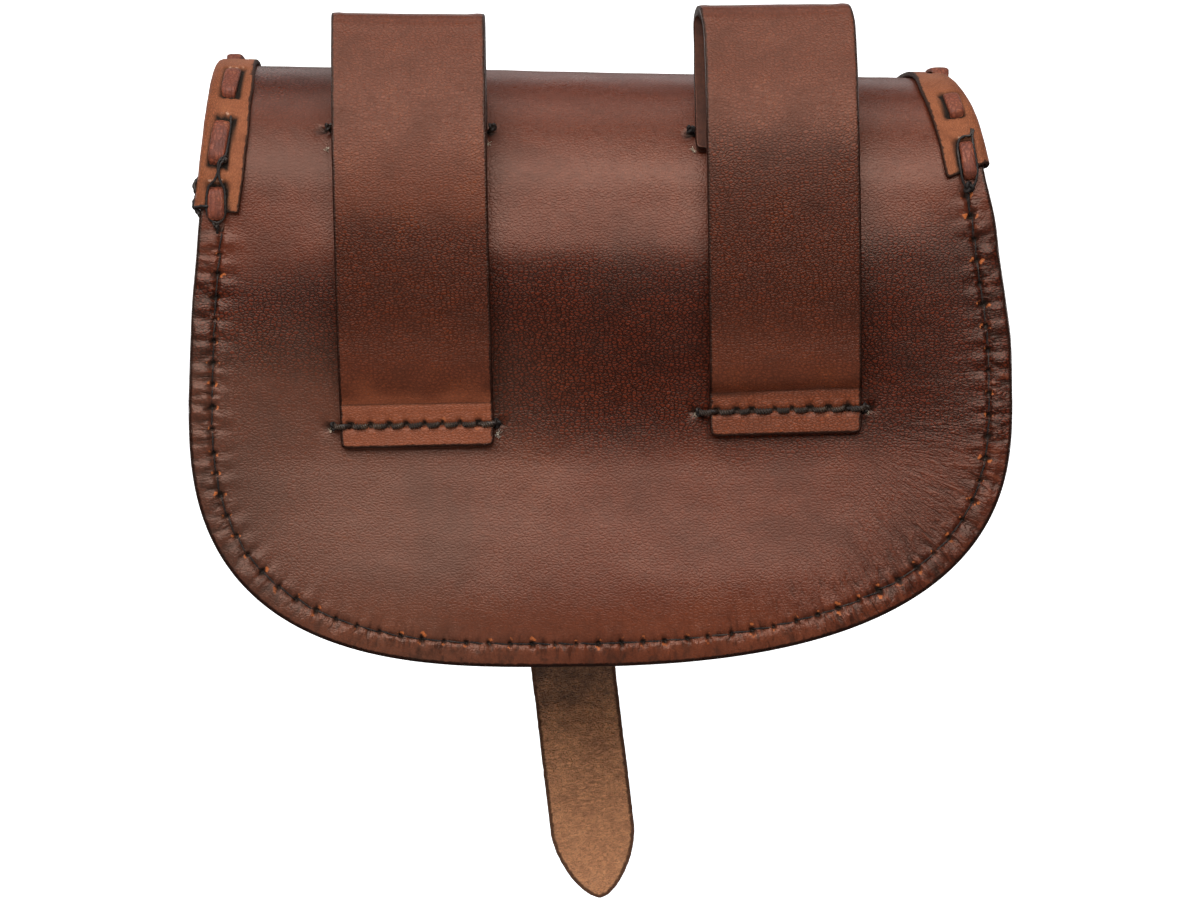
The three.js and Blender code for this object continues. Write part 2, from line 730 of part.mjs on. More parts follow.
// Rounded frame with its prong, joined in one solid.
function buckle() {
  const corners = [];
  const half = BUCKLE_HALF_WIDTH;
  const middle = (HEEL.rise + TOP_BAR.rise) / 2;
  const tall = (TOP_BAR.rise - HEEL.rise) / 2;
  const quarter = 3;
  for (const [sideways, up, start] of [[1, 1, 0], [-1, 1, 1], [-1, -1, 2], [1, -1, 3]]) {
    for (let step = 0; step <= quarter; step += 1) {
      const angle = (start + step / quarter) * (Math.PI / 2);
      const across = sideways * (half - BUCKLE_CORNER) + BUCKLE_CORNER * Math.cos(angle);
      const height = up * (tall - BUCKLE_CORNER) + BUCKLE_CORNER * Math.sin(angle);
      const part = (height + tall) / (2 * tall);
      const y = THREE.MathUtils.lerp(HEEL.y, TOP_BAR.y, part);
      corners.push(onStrap(across, middle + height, y));
    }
  }
  const prong = new THREE.CatmullRomCurve3(
    PRONG_ROUTE.map(({ rise, y }) => onStrap(0, rise, y)),
  );
  return join(wire(corners, true, BAR, 8), wire(prong.getPoints(10), false, PRONG, 8));
}

// Tab folded round the heel bar and sewn on the front panel under it.
function buckleTab() {
  const wall = TAB_WALL / 2;
  const round = BAR + GAP + wall;
  const points = [];
  const backRises = 3;
  for (let step = 0; step <= backRises; step += 1) {
    const rise = THREE.MathUtils.lerp(TAB_END_RISE, HEEL.rise - 2 * round, step / backRises);
    points.push(onStrap(0, rise, pocketFace(rise) + GAP + wall));
  }
  for (let step = 0; step <= 6; step += 1) {
    const turn = (Math.PI * step) / 6;
    points.push(onStrap(0, HEEL.rise + round * Math.sin(turn), HEEL.y - round * Math.cos(turn)));
  }
  for (const { rise, apart } of TAB_CLOSING) {
    points.push(onStrap(0, rise, pocketFace(rise) + GAP + wall + apart));
  }
  const line = new THREE.CatmullRomCurve3(points, false, 'centripetal');
  const steps = 2 * (points.length - 1);
  const stations = [];
  for (let step = 0; step <= steps; step += 1) {
    const part = step / steps;
    stations.push({ point: line.getPoint(part), forward: line.getTangent(part) });
  }
  const half = TAB_WIDTH / 2;
  const section = [[-half, -wall], [half, -wall], [half, wall], [-half, wall]];
  const body = sweep(section, stations, ({ point, forward }, [across, lift]) => {
    const rise = (point.z - STRAP_POINT.z) / Math.cos(STRAP_TILT);
    const out = new THREE.Vector3(0, forward.z, -forward.y).normalize();
    return onStrap(across, rise, point.y).addScaledVector(out, lift);
  });
  return cut(body, [punch(HEEL.rise, 2 * TAB_SLOT, TAB_SLOT / 2, HEEL.y)]);
}

// ---------------------------------------------------------------- assembly

const pouch = new THREE.Group();

function addPiece(name, geometry, material) {
  const piece = new THREE.Mesh(geometry, material);
  piece.name = name;
  pouch.add(piece);
}

addPiece('back_and_flap', backAndFlap(), COLOURS.brown);
addPiece('gusset', gusset(), COLOURS.brown);
addPiece('front_panel', frontPanel(), COLOURS.brown);
addPiece('flap_binding', flapBinding(), COLOURS.tan);
for (const loop of LOOPS) {
  addPiece(loop.name, beltLoop(loop), COLOURS.loop);
}
addPiece('closing_strap', closingStrap(), COLOURS.suede);
addPiece('buckle', buckle(), COLOURS.brass);
addPiece('buckle_tab', buckleTab(), COLOURS.brown);

export default pouch;
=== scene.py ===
# %% [markdown]
# # A belt pouch of thick leather
#
# The pouch is cut from a few flat pieces of vegetable tanned cowhide, dyed by hand and sewn
# with waxed thread. One long piece is the back, the rounded top and the flap. Two straps on
# the back are folded into belt loops, a tan strip is laced round the flap's edge, and a narrow
# strap hangs from the flap through a brass buckle on the front.
#
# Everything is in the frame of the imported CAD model: metres, +Z up, the back towards -Y, and
# the origin at the folds of the belt loops. The pattern is worked out in millimetres, as a
# leather worker would, and turned into metres when a mesh is made.

# %% Load the frame
import math

import bpy
import numpy as np
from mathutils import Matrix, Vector, kdtree, noise
from mathutils.geometry import delaunay_2d_cdt


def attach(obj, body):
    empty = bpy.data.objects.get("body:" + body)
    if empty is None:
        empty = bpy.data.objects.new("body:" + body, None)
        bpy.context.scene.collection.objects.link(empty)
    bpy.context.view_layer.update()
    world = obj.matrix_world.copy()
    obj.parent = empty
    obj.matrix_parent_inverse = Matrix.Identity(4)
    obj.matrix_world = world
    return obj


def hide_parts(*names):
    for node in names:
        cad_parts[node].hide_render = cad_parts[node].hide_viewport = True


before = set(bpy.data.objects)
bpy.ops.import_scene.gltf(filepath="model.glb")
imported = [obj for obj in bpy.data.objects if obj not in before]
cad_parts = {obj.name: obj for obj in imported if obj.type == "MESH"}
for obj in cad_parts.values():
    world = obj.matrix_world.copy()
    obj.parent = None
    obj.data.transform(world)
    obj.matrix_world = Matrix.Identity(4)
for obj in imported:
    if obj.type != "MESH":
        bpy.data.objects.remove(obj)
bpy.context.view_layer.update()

MM = 0.001
print("CAD nodes:", ", ".join(sorted(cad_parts)))

# %% [markdown]
# ## Camera, light and backdrop
#
# The pouch is looked at square on from behind, with a long lens, so that perspective hardly
# draws its outline together. A large softbox stands above and behind the camera: leather that
# leans back mirrors it and shines, and leather that leans forward mirrors the dark room below
# it, which shows the slow swells better than light from all round would. Weaker softboxes
# light the top, the rims and the front. Floor, backdrop and room look pale to the camera
# alone, so that they don't wash those darker hollows out.

# %% Camera
def add_object(name, data):
    made = bpy.data.objects.new(name, data)
    bpy.context.scene.collection.objects.link(made)
    return made


camera = add_object("camera", bpy.data.cameras.new("camera"))
camera.location = (0.0, -1.0, -0.095)
camera.rotation_euler = (math.pi / 2, 0.0, 0.0)
camera.data.sensor_width = 36.0
camera.data.lens = 135.9
bpy.context.scene.camera = camera
bpy.context.scene.view_settings.view_transform = "Standard"
print("camera lens in mm:", round(camera.data.lens, 1))

# %% Lights
SOFTBOXES = {  # place and size (width, height) in metres, power in watts
    "main_softbox": ((-0.22, -1.5, 0.88), (2.4, 1.3), 45.0),
    "top_softbox": ((0.0, -0.1, 1.25), (2.0, 0.7), 9.0),
    "rim_softbox": ((0.0, 1.3, 1.0), (2.0, 0.8), 4.5),
    "front_softbox_left": ((-1.7, 1.3, 0.4), (1.1, 1.1), 12.0),
    "front_softbox_right": ((1.7, 1.3, 0.4), (1.1, 1.1), 12.0),
}
AIM = Vector((0.0, 0.02, -0.09))
for name, (place, size, power) in SOFTBOXES.items():
    data = bpy.data.lights.new(name, "AREA")
    data.shape, data.energy = "RECTANGLE", power
    data.size, data.size_y = size
    light = add_object(name, data)
    light.location = place
    light.rotation_euler = (AIM - Vector(place)).to_track_quat("-Z", "Y").to_euler()
print("lights:", ", ".join(SOFTBOXES))

# %% Floor, backdrop and surroundings
def glows_for_camera(tree, socket, otherwise, glow):
    """Lets a surface look pale without lighting the pouch."""
    path = tree.nodes.new("ShaderNodeLightPath")
    shared = tree.nodes.new("ShaderNodeMapRange")
    shared.inputs["To Min"].default_value = otherwise
    shared.inputs["To Max"].default_value = glow
    tree.links.new(path.outputs["Is Camera Ray"], shared.inputs["Value"])
    tree.links.new(shared.outputs[0], socket)


def stage_sheet(name, corners, grey, glow):
    """A plain matt sheet for the surroundings, which also shows the camera its own light."""
    finish = bpy.data.materials.new(name + "_finish")
    finish.use_nodes = True
    shader = finish.node_tree.nodes["Principled BSDF"]
    shader.inputs["Base Color"].default_value = (grey, grey, grey, 1.0)
    shader.inputs["Roughness"].default_value = 0.9
    shader.inputs["Emission Color"].default_value = (1.0, 1.0, 1.0, 1.0)
    glows_for_camera(finish.node_tree, shader.inputs["Emission Strength"], 0.0, glow)
    mesh = bpy.data.meshes.new(name)
    mesh.from_pydata(corners, [], [(0, 1, 2, 3)])
    mesh.materials.append(finish)
    made = add_object(name, mesh)
    made.visible_glossy = False
    return made


FLOOR_Z, WALL_Y = -0.45, 2.4
stage_sheet("floor", [(-4, -1.4, FLOOR_Z), (4, -1.4, FLOOR_Z), (4, 5, FLOOR_Z),
                      (-4, 5, FLOOR_Z)], 0.7, 0.6)
backdrop = stage_sheet("backdrop", [(-3, WALL_Y, FLOOR_Z), (3, WALL_Y, FLOOR_Z),
                                    (3, WALL_Y, 3), (-3, WALL_Y, 3)], 0.9, 1.0)
backdrop.visible_diffuse = backdrop.visible_shadow = False
world = bpy.data.worlds.new("studio")
world.use_nodes = True
walls = world.node_tree.nodes["Background"]
walls.inputs["Color"].default_value = (1.0, 1.0, 1.0, 1.0)
glows_for_camera(world.node_tree, walls.inputs["Strength"], 0.02, 1.0)
bpy.context.scene.world = world
print("floor at", FLOOR_Z, "m and backdrop in place")

# %% [markdown]
# ## From the flat pattern to the bent leather
#
# Leather hardly stretches, so a stitch or an edge is placed on the flat pattern, and a second
# step bends the pattern into its place. For the back and flap a place on the pattern is x,
# across the pouch, and `along`, the distance along the leather from the line where the back
# starts to bend over the top. The tables follow the CAD model, so the finished leather lies
# where the CAD solids lie.

# %% Tables and smooth values between their rows
def columns(*values):
    """Arrays and plain numbers side by side, as the columns of one array."""
    return np.stack(np.broadcast_arrays(*values), -1)


def hermite(t, start, stop, leaving, arriving):
    """Smooth way from start to stop while t goes from 0 to 1, with its slopes at both."""
    return (start * (2 * t**3 - 3 * t**2 + 1) + stop * (3 * t**2 - 2 * t**3)
            + leaving * (t**3 - 2 * t**2 + t) + arriving * (t**3 - t**2))


def read_table(rows, at, column=1):
    """Smooth value of one column of a table, whose first column is the key, at each of `at`."""
    table = np.array(rows, float)
    keys, values = table[:, 0], table[:, column]
    number = np.arange(len(keys))
    before, after = np.maximum(number - 1, 0), np.minimum(number + 1, len(keys) - 1)
    slopes = (values[after] - values[before]) / (keys[after] - keys[before])
    at = np.clip(np.asarray(at, float), keys[0], keys[-1])
    row = np.clip(np.searchsorted(keys, at, side="right") - 1, 0, len(keys) - 2)
    span = keys[row + 1] - keys[row]
    return hermite((at - keys[row]) / span, values[row], values[row + 1], slopes[row] * span,
                   slopes[row + 1] * span)


GAP = 0.3
BODY_WALL = 2.0
BACK_Y = -3.5
FOLD_Z = -38.2
FOLD_RADIUS = 29.0
FLAP_LEAN = math.radians(2.5)
FOLD_TURN = math.pi + FLAP_LEAN
FOLD_ALONG = FOLD_RADIUS * FOLD_TURN
TOP_SLOPE = 0.019
TOP_LEVEL_X = -20.0
SIDE_EDGES = [  # along, left edge, right edge
    (-46, -90.6, 90.8), (-33, -90.2, 90.5), (-24, -89.8, 89.4), (-15, -89.0, 88.1),
    (-6, -88.3, 87.0), (3, -87.1, 85.0), (12, -86.3, 83.5), (23, -85.6, 81.1),
    (32, -85.2, 78.7), (45, -84.9, 75.8), (91, -87.5, 72.1), (109, -88.8, 70.6),
]
BACK_END = {"along": -46.0, "drop": 58.6, "centre": -14.0, "down": -1, "round": (2.71, 2.61)}
FLAP_END = {"along": 109.0, "drop": 37.5, "centre": -9.0, "down": 1, "round": (2.6, 2.6)}
SWELLING = [  # along, how far the leather stands out
    (-105, 0), (-101, 1.1), (-97, 1.9), (-92, 2.2), (-86, 1.9), (-78, 0.9), (-70, -0.2),
    (-64, -0.9), (-58, -1.5), (-50, -1.5), (-42, -0.8), (-33, 0.5), (-24, 1.7), (-18, 2.2),
    (-13, 2.3), (-8, 1.9), (-2, 1.2), (5, 0.5), (12, 0), (45, 0), (75, 1.2), (110, 2),
    (150, 2),
]
SWELL_REACH = 86.0
print("leather over the top, mm:", round(FOLD_ALONG, 1))

# %% The bent shape of the back and flap
def side_edge(side, along):
    return read_table(SIDE_EDGES, along, 1 if side == "left" else 2)


def round_end(end, turn):
    """Points of a round end of the pattern; turn goes from 0 at the right to pi at the left."""
    turn = np.asarray(turn, float)
    rightwards = np.cos(turn) >= 0
    reach = np.where(rightwards, side_edge("right", end["along"]) - end["centre"],
                     end["centre"] - side_edge("left", end["along"]))
    power = 2 / np.where(rightwards, end["round"][1], end["round"][0])
    across = np.sign(np.cos(turn)) * np.abs(np.cos(turn)) ** power
    down = np.abs(np.sin(turn)) ** power
    return columns(end["centre"] + reach * across,
                   end["along"] + end["down"] * end["drop"] * down)


def on_leather(flat, lift):
    """Where places (x, along) of the pattern are in space, `lift` above the outer face."""
    x, along = np.asarray(flat, float).T
    turn = np.clip(along / FOLD_RADIUS, 0, FOLD_TURN)
    facing_y, facing_z = -np.cos(turn), np.sin(turn)
    straight = along - turn * FOLD_RADIUS
    y = BACK_Y + FOLD_RADIUS + FOLD_RADIUS * facing_y + straight * facing_z
    z = FOLD_Z + FOLD_RADIUS * facing_z - straight * facing_y
    z = z - TOP_SLOPE * (x - TOP_LEVEL_X) * np.maximum(facing_z, 0)
    swell = read_table(SWELLING, along) * (1 - np.minimum(np.abs(x) / SWELL_REACH, 1) ** 4)
    raised = lift + swell
    return columns(x, y + raised * facing_y, z + raised * facing_z)


print("top of the fold, mm:", on_leather([(-20, FOLD_RADIUS * math.pi / 2)], 0)[0].round(1))

# %% Lines on the pattern
def lengths_of(line):
    """The length travelled along a line at each of its points."""
    return np.concatenate([[0], np.cumsum(np.linalg.norm(np.diff(line, axis=0), axis=1))])


def read_columns(at, keys, rows):
    """Straight values of every column of a table between its rows."""
    return columns(*(np.interp(at, keys, column) for column in np.transpose(rows)))


def resample(line, step, closed=False):
    """The same line with points an even distance of about `step` apart."""
    line = np.asarray(line, float)
    if closed:
        line = np.vstack([line, line[:1]])
    lengths = lengths_of(line)
    at = np.linspace(0, lengths[-1], max(int(round(lengths[-1] / step)), 1) + 1)
    return read_columns(at[:-1] if closed else at, lengths, line)


def unit(vectors):
    return vectors / np.linalg.norm(vectors, axis=1)[:, None]


def leftward(line, closed=True):
    """Unit vectors that point to the left of a flat line, at each of its points."""
    forward = (np.roll(line, -1, axis=0) - np.roll(line, 1, axis=0) if closed
               else np.gradient(line, axis=0))
    forward = unit(forward)
    return columns(-forward[:, 1], forward[:, 0])


def soften(line, reach, step):
    """Rounds the corners of a closed line with even steps, as a worn knife-cut corner is."""
    width = int(4 * reach / step)
    shares = np.exp(-0.5 * (np.arange(-width, width + 1) * step / reach) ** 2)
    shares /= shares.sum()
    return sum(share * np.roll(line, shift, axis=0)
               for share, shift in zip(shares, range(-width, width + 1)))


def full_turn(count):
    """Evenly spaced angles once round."""
    return np.linspace(0, 2 * math.pi, count, endpoint=False)


def smooth_step(value):
    value = np.clip(value, 0, 1)
    return value * value * (3 - 2 * value)


def bell(value, width):
    """1 where a value is 0, falling off smoothly within about `width`."""
    return np.exp(-(value / width) ** 2)


def ripple(flat, size, seed=0.0):
    """Smooth random values between about -1 and 1 over places on a pattern."""
    return np.array([noise.noise(Vector((place[0] / size, place[1] / size, seed)))
                     for place in flat])


def nearest(line):
    """A function that gives, for places, the number of a line's nearest point, and how far."""
    tree = kdtree.KDTree(len(line))
    for index, (u, v) in enumerate(line):
        tree.insert((u, v, 0), index)
    tree.balance()
    return lambda flat: np.array([tree.find((u, v, 0))[1:] for u, v in flat]).T


def ripples(flat, *rows):
    """Several ripples in one. Each row is a height, a size and a seed."""
    return sum(height * ripple(flat, size, seed) for height, size, seed in rows)


class Path:
    """A line on a pattern, with points about `step` apart."""

    def __init__(self, line, step):
        self.line = resample(line, step)
        self.side = leftward(self.line, closed=False)
        self.lengths = lengths_of(self.line)

    def frame(self, length):
        """Places at lengths along the line, and unit vectors to its left there."""
        return [read_columns(length, self.lengths, rows) for rows in (self.line, self.side)]

    def at(self, length, off=0.0):
        """Places at lengths along the line, `off` to its left."""
        place, side = self.frame(length)
        return place + off * side


FINE = 0.6  # spacing of points round an outline
ROUND_POINTS = 700


def up_the_side(side, start, stop, count):
    along = np.linspace(start, stop, count)
    return columns(side_edge(side, along), along)


def edge_of_back(left_top, right_top):
    """Edge of the pattern from its left side at one height round the bottom to the right."""
    turns = np.linspace(math.pi, 0, ROUND_POINTS)[1:-1]
    return np.vstack([up_the_side("left", left_top, BACK_END["along"], 60),
                      round_end(BACK_END, turns),
                      up_the_side("right", BACK_END["along"], right_top, 60)])


def outline_of_pattern():
    ends = BACK_END["along"], FLAP_END["along"]
    turns = np.linspace(0, math.pi, ROUND_POINTS)
    line = np.vstack([round_end(BACK_END, turns[::-1])[:-1],
                      up_the_side("right", *ends, 400)[:-1],
                      round_end(FLAP_END, turns)[:-1],
                      up_the_side("left", *ends, 400)[::-1][:-1]])
    return resample(line, FINE, closed=True)


pattern_outline = outline_of_pattern()
from_edge = nearest(pattern_outline)
print("points round the main pattern:", len(pattern_outline))

# %% [markdown]
# ## Seams
#
# A seam is a row of holes with thread pulled tight between them. The thread sinks into the
# leather, each hole is a small pit, and the leather gathers in short wrinkles on both sides.
# Thread is a piece of its own, but the groove, pits and wrinkles are in the leather, so a seam
# is kept as a line on the pattern and asked how far any place is from it and from its holes.

# %% Seam
class Seam(Path):
    """A row of stitches on a pattern: its line, and a hole about every `pitch` mm."""

    def __init__(self, line, pitch, seed, wander=0.12, hole=0.5, creased=1.0, tall=1.5,
                 shift=0.0, groove=0.45, turn=0.0):
        super().__init__(line, 0.2)
        self.hole, self.creased, self.last = hole, creased, (None, None)
        self.tall, self.shift, self.groove, self.turn = tall, shift, groove, turn
        count = int(round(self.lengths[-1] / pitch))
        rng = np.random.default_rng(seed)
        self.pitch = self.lengths[-1] / count
        self.holes = np.linspace(0, self.lengths[-1], count + 1)
        self.holes[1:-1] += rng.normal(0, wander, count - 1)
        self.sizes = 1 + 0.18 * rng.standard_normal(count + 1)
        self.seed = seed
        self.nearest = nearest(self.line)

    def near(self, flat):
        """Length along the seam, signed distances off it and along it from the nearest hole,
        and the size of that hole."""
        if self.last[0] is not None and np.array_equal(self.last[0], flat):
            return self.last[1]
        index = self.nearest(flat)[0].astype(int)
        apart = flat - self.line[index]
        off = (apart * self.side[index]).sum(1)
        straight = np.linalg.norm(apart, axis=1)
        off = np.where(straight > np.abs(off) + 0.3, np.sign(off + 1e-9) * straight, off)
        length = self.lengths[index]
        after = np.clip(np.searchsorted(self.holes, length), 1, len(self.holes) - 1)
        hole = after - (length - self.holes[after - 1] < self.holes[after] - length)
        self.last = (flat.copy(), (length, off, length - self.holes[hole], self.sizes[hole]))
        return self.last[1]

    def creases(self, flat):
        """Mask from 0 to 1 of the short wrinkles that the stitches pull across the seam."""
        length, off, gap, _ = self.near(flat)
        out = np.zeros(len(flat))
        beside = np.abs(off) < 5.5
        length, off, gap = length[beside], off[beside], np.abs(gap[beside])
        bend = 0.7 * ripple(columns(0.5 * length, off), 2.0, self.seed + 8.0)
        deep = 0.75 + 1.3 * ripple(columns(length, 9 * np.sign(off)), 3.1, self.seed + 9.0)
        lines = bell(gap + bend, 0.36) + 0.7 * bell(self.pitch / 2 - gap + bend, 0.32)
        reach = np.where(off < 0, 2.6, 1.3)
        lines *= np.exp(-np.maximum(np.abs(off) - 0.5, 0) / reach)
        out[beside] = np.clip(self.creased * deep * lines, 0, 1)
        return out

    def extra_points(self, offs=(0, 0.35, 0.75, 1.3, 2.0, 3.0)):
        """Places where the leather's mesh has to be finer, round the seam."""
        return np.vstack([
            self.at(np.arange(0, self.lengths[-1], 0.36 if off < 1.5 else 0.7), sign * off)
            for off in offs for sign in ((-1, 1) if off else (1,))])

    def reach(self, off, gap, size):
        """Distance from the nearest hole, as a share of the hole's own slanting oval."""
        off, size = off - self.shift, size * self.hole
        cos, sin = math.cos(self.turn), math.sin(self.turn)
        return np.hypot((off * cos - gap * sin) / (size * self.tall),
                        (off * sin + gap * cos) / size)

    def relief(self, flat):
        """How far the seam moves the outer face: down in the groove, in and out beside it."""
        length, off, gap, size = self.near(flat)
        away = np.abs(off)
        uneven = np.zeros(len(flat))
        beside = away < 8
        uneven[beside] = ripple(columns(length, off)[beside], 6.0, self.seed)
        reach = self.reach(off, gap, size)
        out = -0.4 * (0.8 + 0.4 * uneven) * bell(away, 0.45) - 0.8 * bell(reach, 1.0)
        out += 0.3 * self.creased * (0.9 + 0.8 * uneven) * bell(reach - 2.1, 0.8) * bell(gap, 0.9)
        gathered = np.cos(math.pi * np.clip(np.abs(gap) / (self.pitch / 2), 0, 1))
        swell = np.exp(-np.maximum(away - 0.8, 0) / 1.8) * (1 - bell(away, 0.7))
        out -= 0.24 * self.creased * (1 + 1.2 * uneven) * gathered * swell
        return out - 0.3 * self.creases(flat)

    def dark(self, flat):
        """Mask from 0 to 1 of painted shade in the groove, the pits and the wrinkles."""
        _, off, gap, size = self.near(flat)
        # Painted shade: the stitch holes as dark pits, the groove, and the valleys of the
        # wrinkles.
        pits = smooth_step((1.2 - self.reach(off, gap, size)) / 0.35)
        groove = self.groove * bell(off, 0.26)
        return np.clip(np.maximum(groove + pits, 0.3 * self.creases(flat)), 0, 1)

    def worn(self, flat):
        """Mask from 0 to 1 of dye rubbed off the rims of the pits."""
        near = self.near(flat)
        out = np.zeros(len(flat))
        beside = np.abs(near[1]) < 3
        length, off, gap, size = (values[beside] for values in near)
        rims = bell(self.reach(off, gap, size) - 1.75, 0.5) * bell(gap - 0.3 * off, 0.75)
        uneven = ripple(columns(length, 2 * off), 3.4, self.seed + 5.0)
        out[beside] = np.clip(
            self.creased * rims * (off**2 > 0.16) * (0.72 + 1.3 * uneven), 0, 1)
        return out


def inset(line, distance):
    return line + distance * leftward(line, closed=False)


SEAM_PITCH = 4.85
SEAM_INSET = 5.2  # from the cut edge to the seam
back_seam = Seam(inset(edge_of_back(-8.2, 0.4), SEAM_INSET), SEAM_PITCH, seed=3, hole=0.46,
                 turn=0.5)
print("holes in the seam round the back:", len(back_seam.holes))

# %% [markdown]
# ## Cutting a piece of leather
#
# Every leather piece here is a flat cut-out that is bent into place, so one helper makes them
# all. It fills the outline with points, closer together near edges and seams, and joins them
# with a Delaunay triangulation, which gives well shaped triangles however uneven the spacing
# is; a grid can't be fine at the seams and coarse between them. A rim of faces with rounded
# corners makes the cut edge, and a coarser sheet the flesh side.

# %% Filling an outline with triangles
CELL = 3.0  # size of the squares that places are sorted into


def inside(flat, loop):
    """Which places lie inside a closed line, by counting crossings."""
    x, y = flat.T
    found = np.zeros(len(flat), bool)
    for (x0, y0), (x1, y1) in zip(loop, np.roll(loop, -1, axis=0)):
        if y0 != y1:
            crosses = (y0 > y) != (y1 > y)
            found ^= crosses & (x < x0 + (y - y0) * (x1 - x0) / (y1 - y0))
    return found


def thinned(groups):
    """Joins groups of (places, least distance), leaving out what is too near earlier ones."""
    kept, chosen = {}, []
    for places, least in groups:
        for u, v in places:
            column, row = int(math.floor(u / CELL)), int(math.floor(v / CELL))
            near = (other for i in (-1, 0, 1) for j in (-1, 0, 1)
                    for other in kept.get((column + i, row + j), ()))
            if all((u - a) ** 2 + (v - b) ** 2 >= least * least for a, b in near):
                kept.setdefault((column, row), []).append((u, v))
                chosen.append((u, v))
    return chosen


def hexagonal(loop, spacing):
    """Places in rows, every other one shifted, over the box round a closed line."""
    low, high = loop.min(0), loop.max(0)
    rows = []
    for number, v in enumerate(np.arange(low[1], high[1], spacing * 0.866)):
        u = np.arange(low[0] + (number % 2) * spacing / 2, high[0], spacing)
        rows.append(columns(u, v))
    return np.vstack(rows)


def fill_flat(loops, groups):
    """Triangles inside the first loop and outside the others. Returns places, triangles and
    the numbers of each loop's points."""
    def free(places):
        found = inside(places, loops[0])
        for hole in loops[1:]:
            found &= ~inside(places, hole)
        return found

    starts = np.cumsum([0] + [len(loop) for loop in loops])
    points = thinned([(np.vstack(loops), 0.0)] + [
        (places[free(places)], least) for places, least in groups])
    ring = [list(range(start, stop)) for start, stop in zip(starts, starts[1:])]
    edges = [(a, b) for loop in ring[1:] for a, b in zip(loop, loop[1:] + loop[:1])]
    placed, _, faces, origin, _, _ = delaunay_2d_cdt(
        [Vector(point) for point in points], edges, [ring[0]], 1, 1e-6)
    flat, triangles = np.array(placed), np.array(faces)
    where = {source: index for index, sources in enumerate(origin) for source in sources}
    for hole in loops[1:]:
        triangles = triangles[~inside(flat[triangles].mean(1), hole)]
    return flat, triangles, [[where[i] for i in loop] for loop in ring]


print("triangulation ready")

# %% From flat places to a mesh
SEAM_SPACING, RING_SPACING = 0.33, 0.5  # least distances of points near seams and edges
GRAIN_SHARE = 0.75  # part of the wall that moves with the relief of the grain side


def finish_piece(made, slot, *nodes):
    """Makes a piece ride on the body and hides the CAD nodes it stands for; the slot is not used.
    """
    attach(made, "root")
    if nodes:
        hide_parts(*nodes)
    print(made.name, len(made.data.polygons), "faces")


def make_object(name, vertices_mm, faces, finishes, face_finish=None):
    """A smooth mesh object at the origin, from points in millimetres."""
    mesh = bpy.data.meshes.new(name)
    mesh.from_pydata((np.asarray(vertices_mm) * MM).tolist(), [], faces)
    for finish in finishes:
        mesh.materials.append(finish)
    if face_finish is not None:
        mesh.polygons.foreach_set("material_index", np.asarray(face_finish, np.int32))
    mesh.shade_smooth()
    mesh.update()
    return add_object(name, mesh)


def volume_of(vertices, faces):
    return sum(np.dot(vertices[face[0]], np.cross(vertices[b], vertices[c]))
               for face in faces for b, c in zip(face[1:-1], face[2:])) / 6


def give_values(mesh, kind="FLOAT", **columns):
    """Stores a value or a vector for each vertex, which a material or a tree reads by name."""
    for name, values in columns.items():
        layer = mesh.attributes.new(name, kind, "POINT")
        layer.data.foreach_set("value" if kind == "FLOAT" else "vector",
                               np.asarray(values, np.float32).ravel())


def give_pattern(mesh, flat):
    """Stores the place on the flat pattern as a UV map, in metres."""
    layer = mesh.uv_layers.new(name="pattern")
    corners = np.zeros(len(mesh.loops), np.int32)
    mesh.loops.foreach_get("vertex_index", corners)
    layer.uv.foreach_set("vector", (flat[corners] * MM).astype(np.float32).ravel())


def edge_profile(wall, bevel):
    """Rows of points down a cut edge with rounded corners: how far inward, and how deep."""
    upper = [(bevel * (1 - math.sin(angle)), bevel * (1 - math.cos(angle)))
             for angle in np.radians([25, 50, 90])]
    return upper + [(inward, wall - down) for inward, down in reversed(upper)]


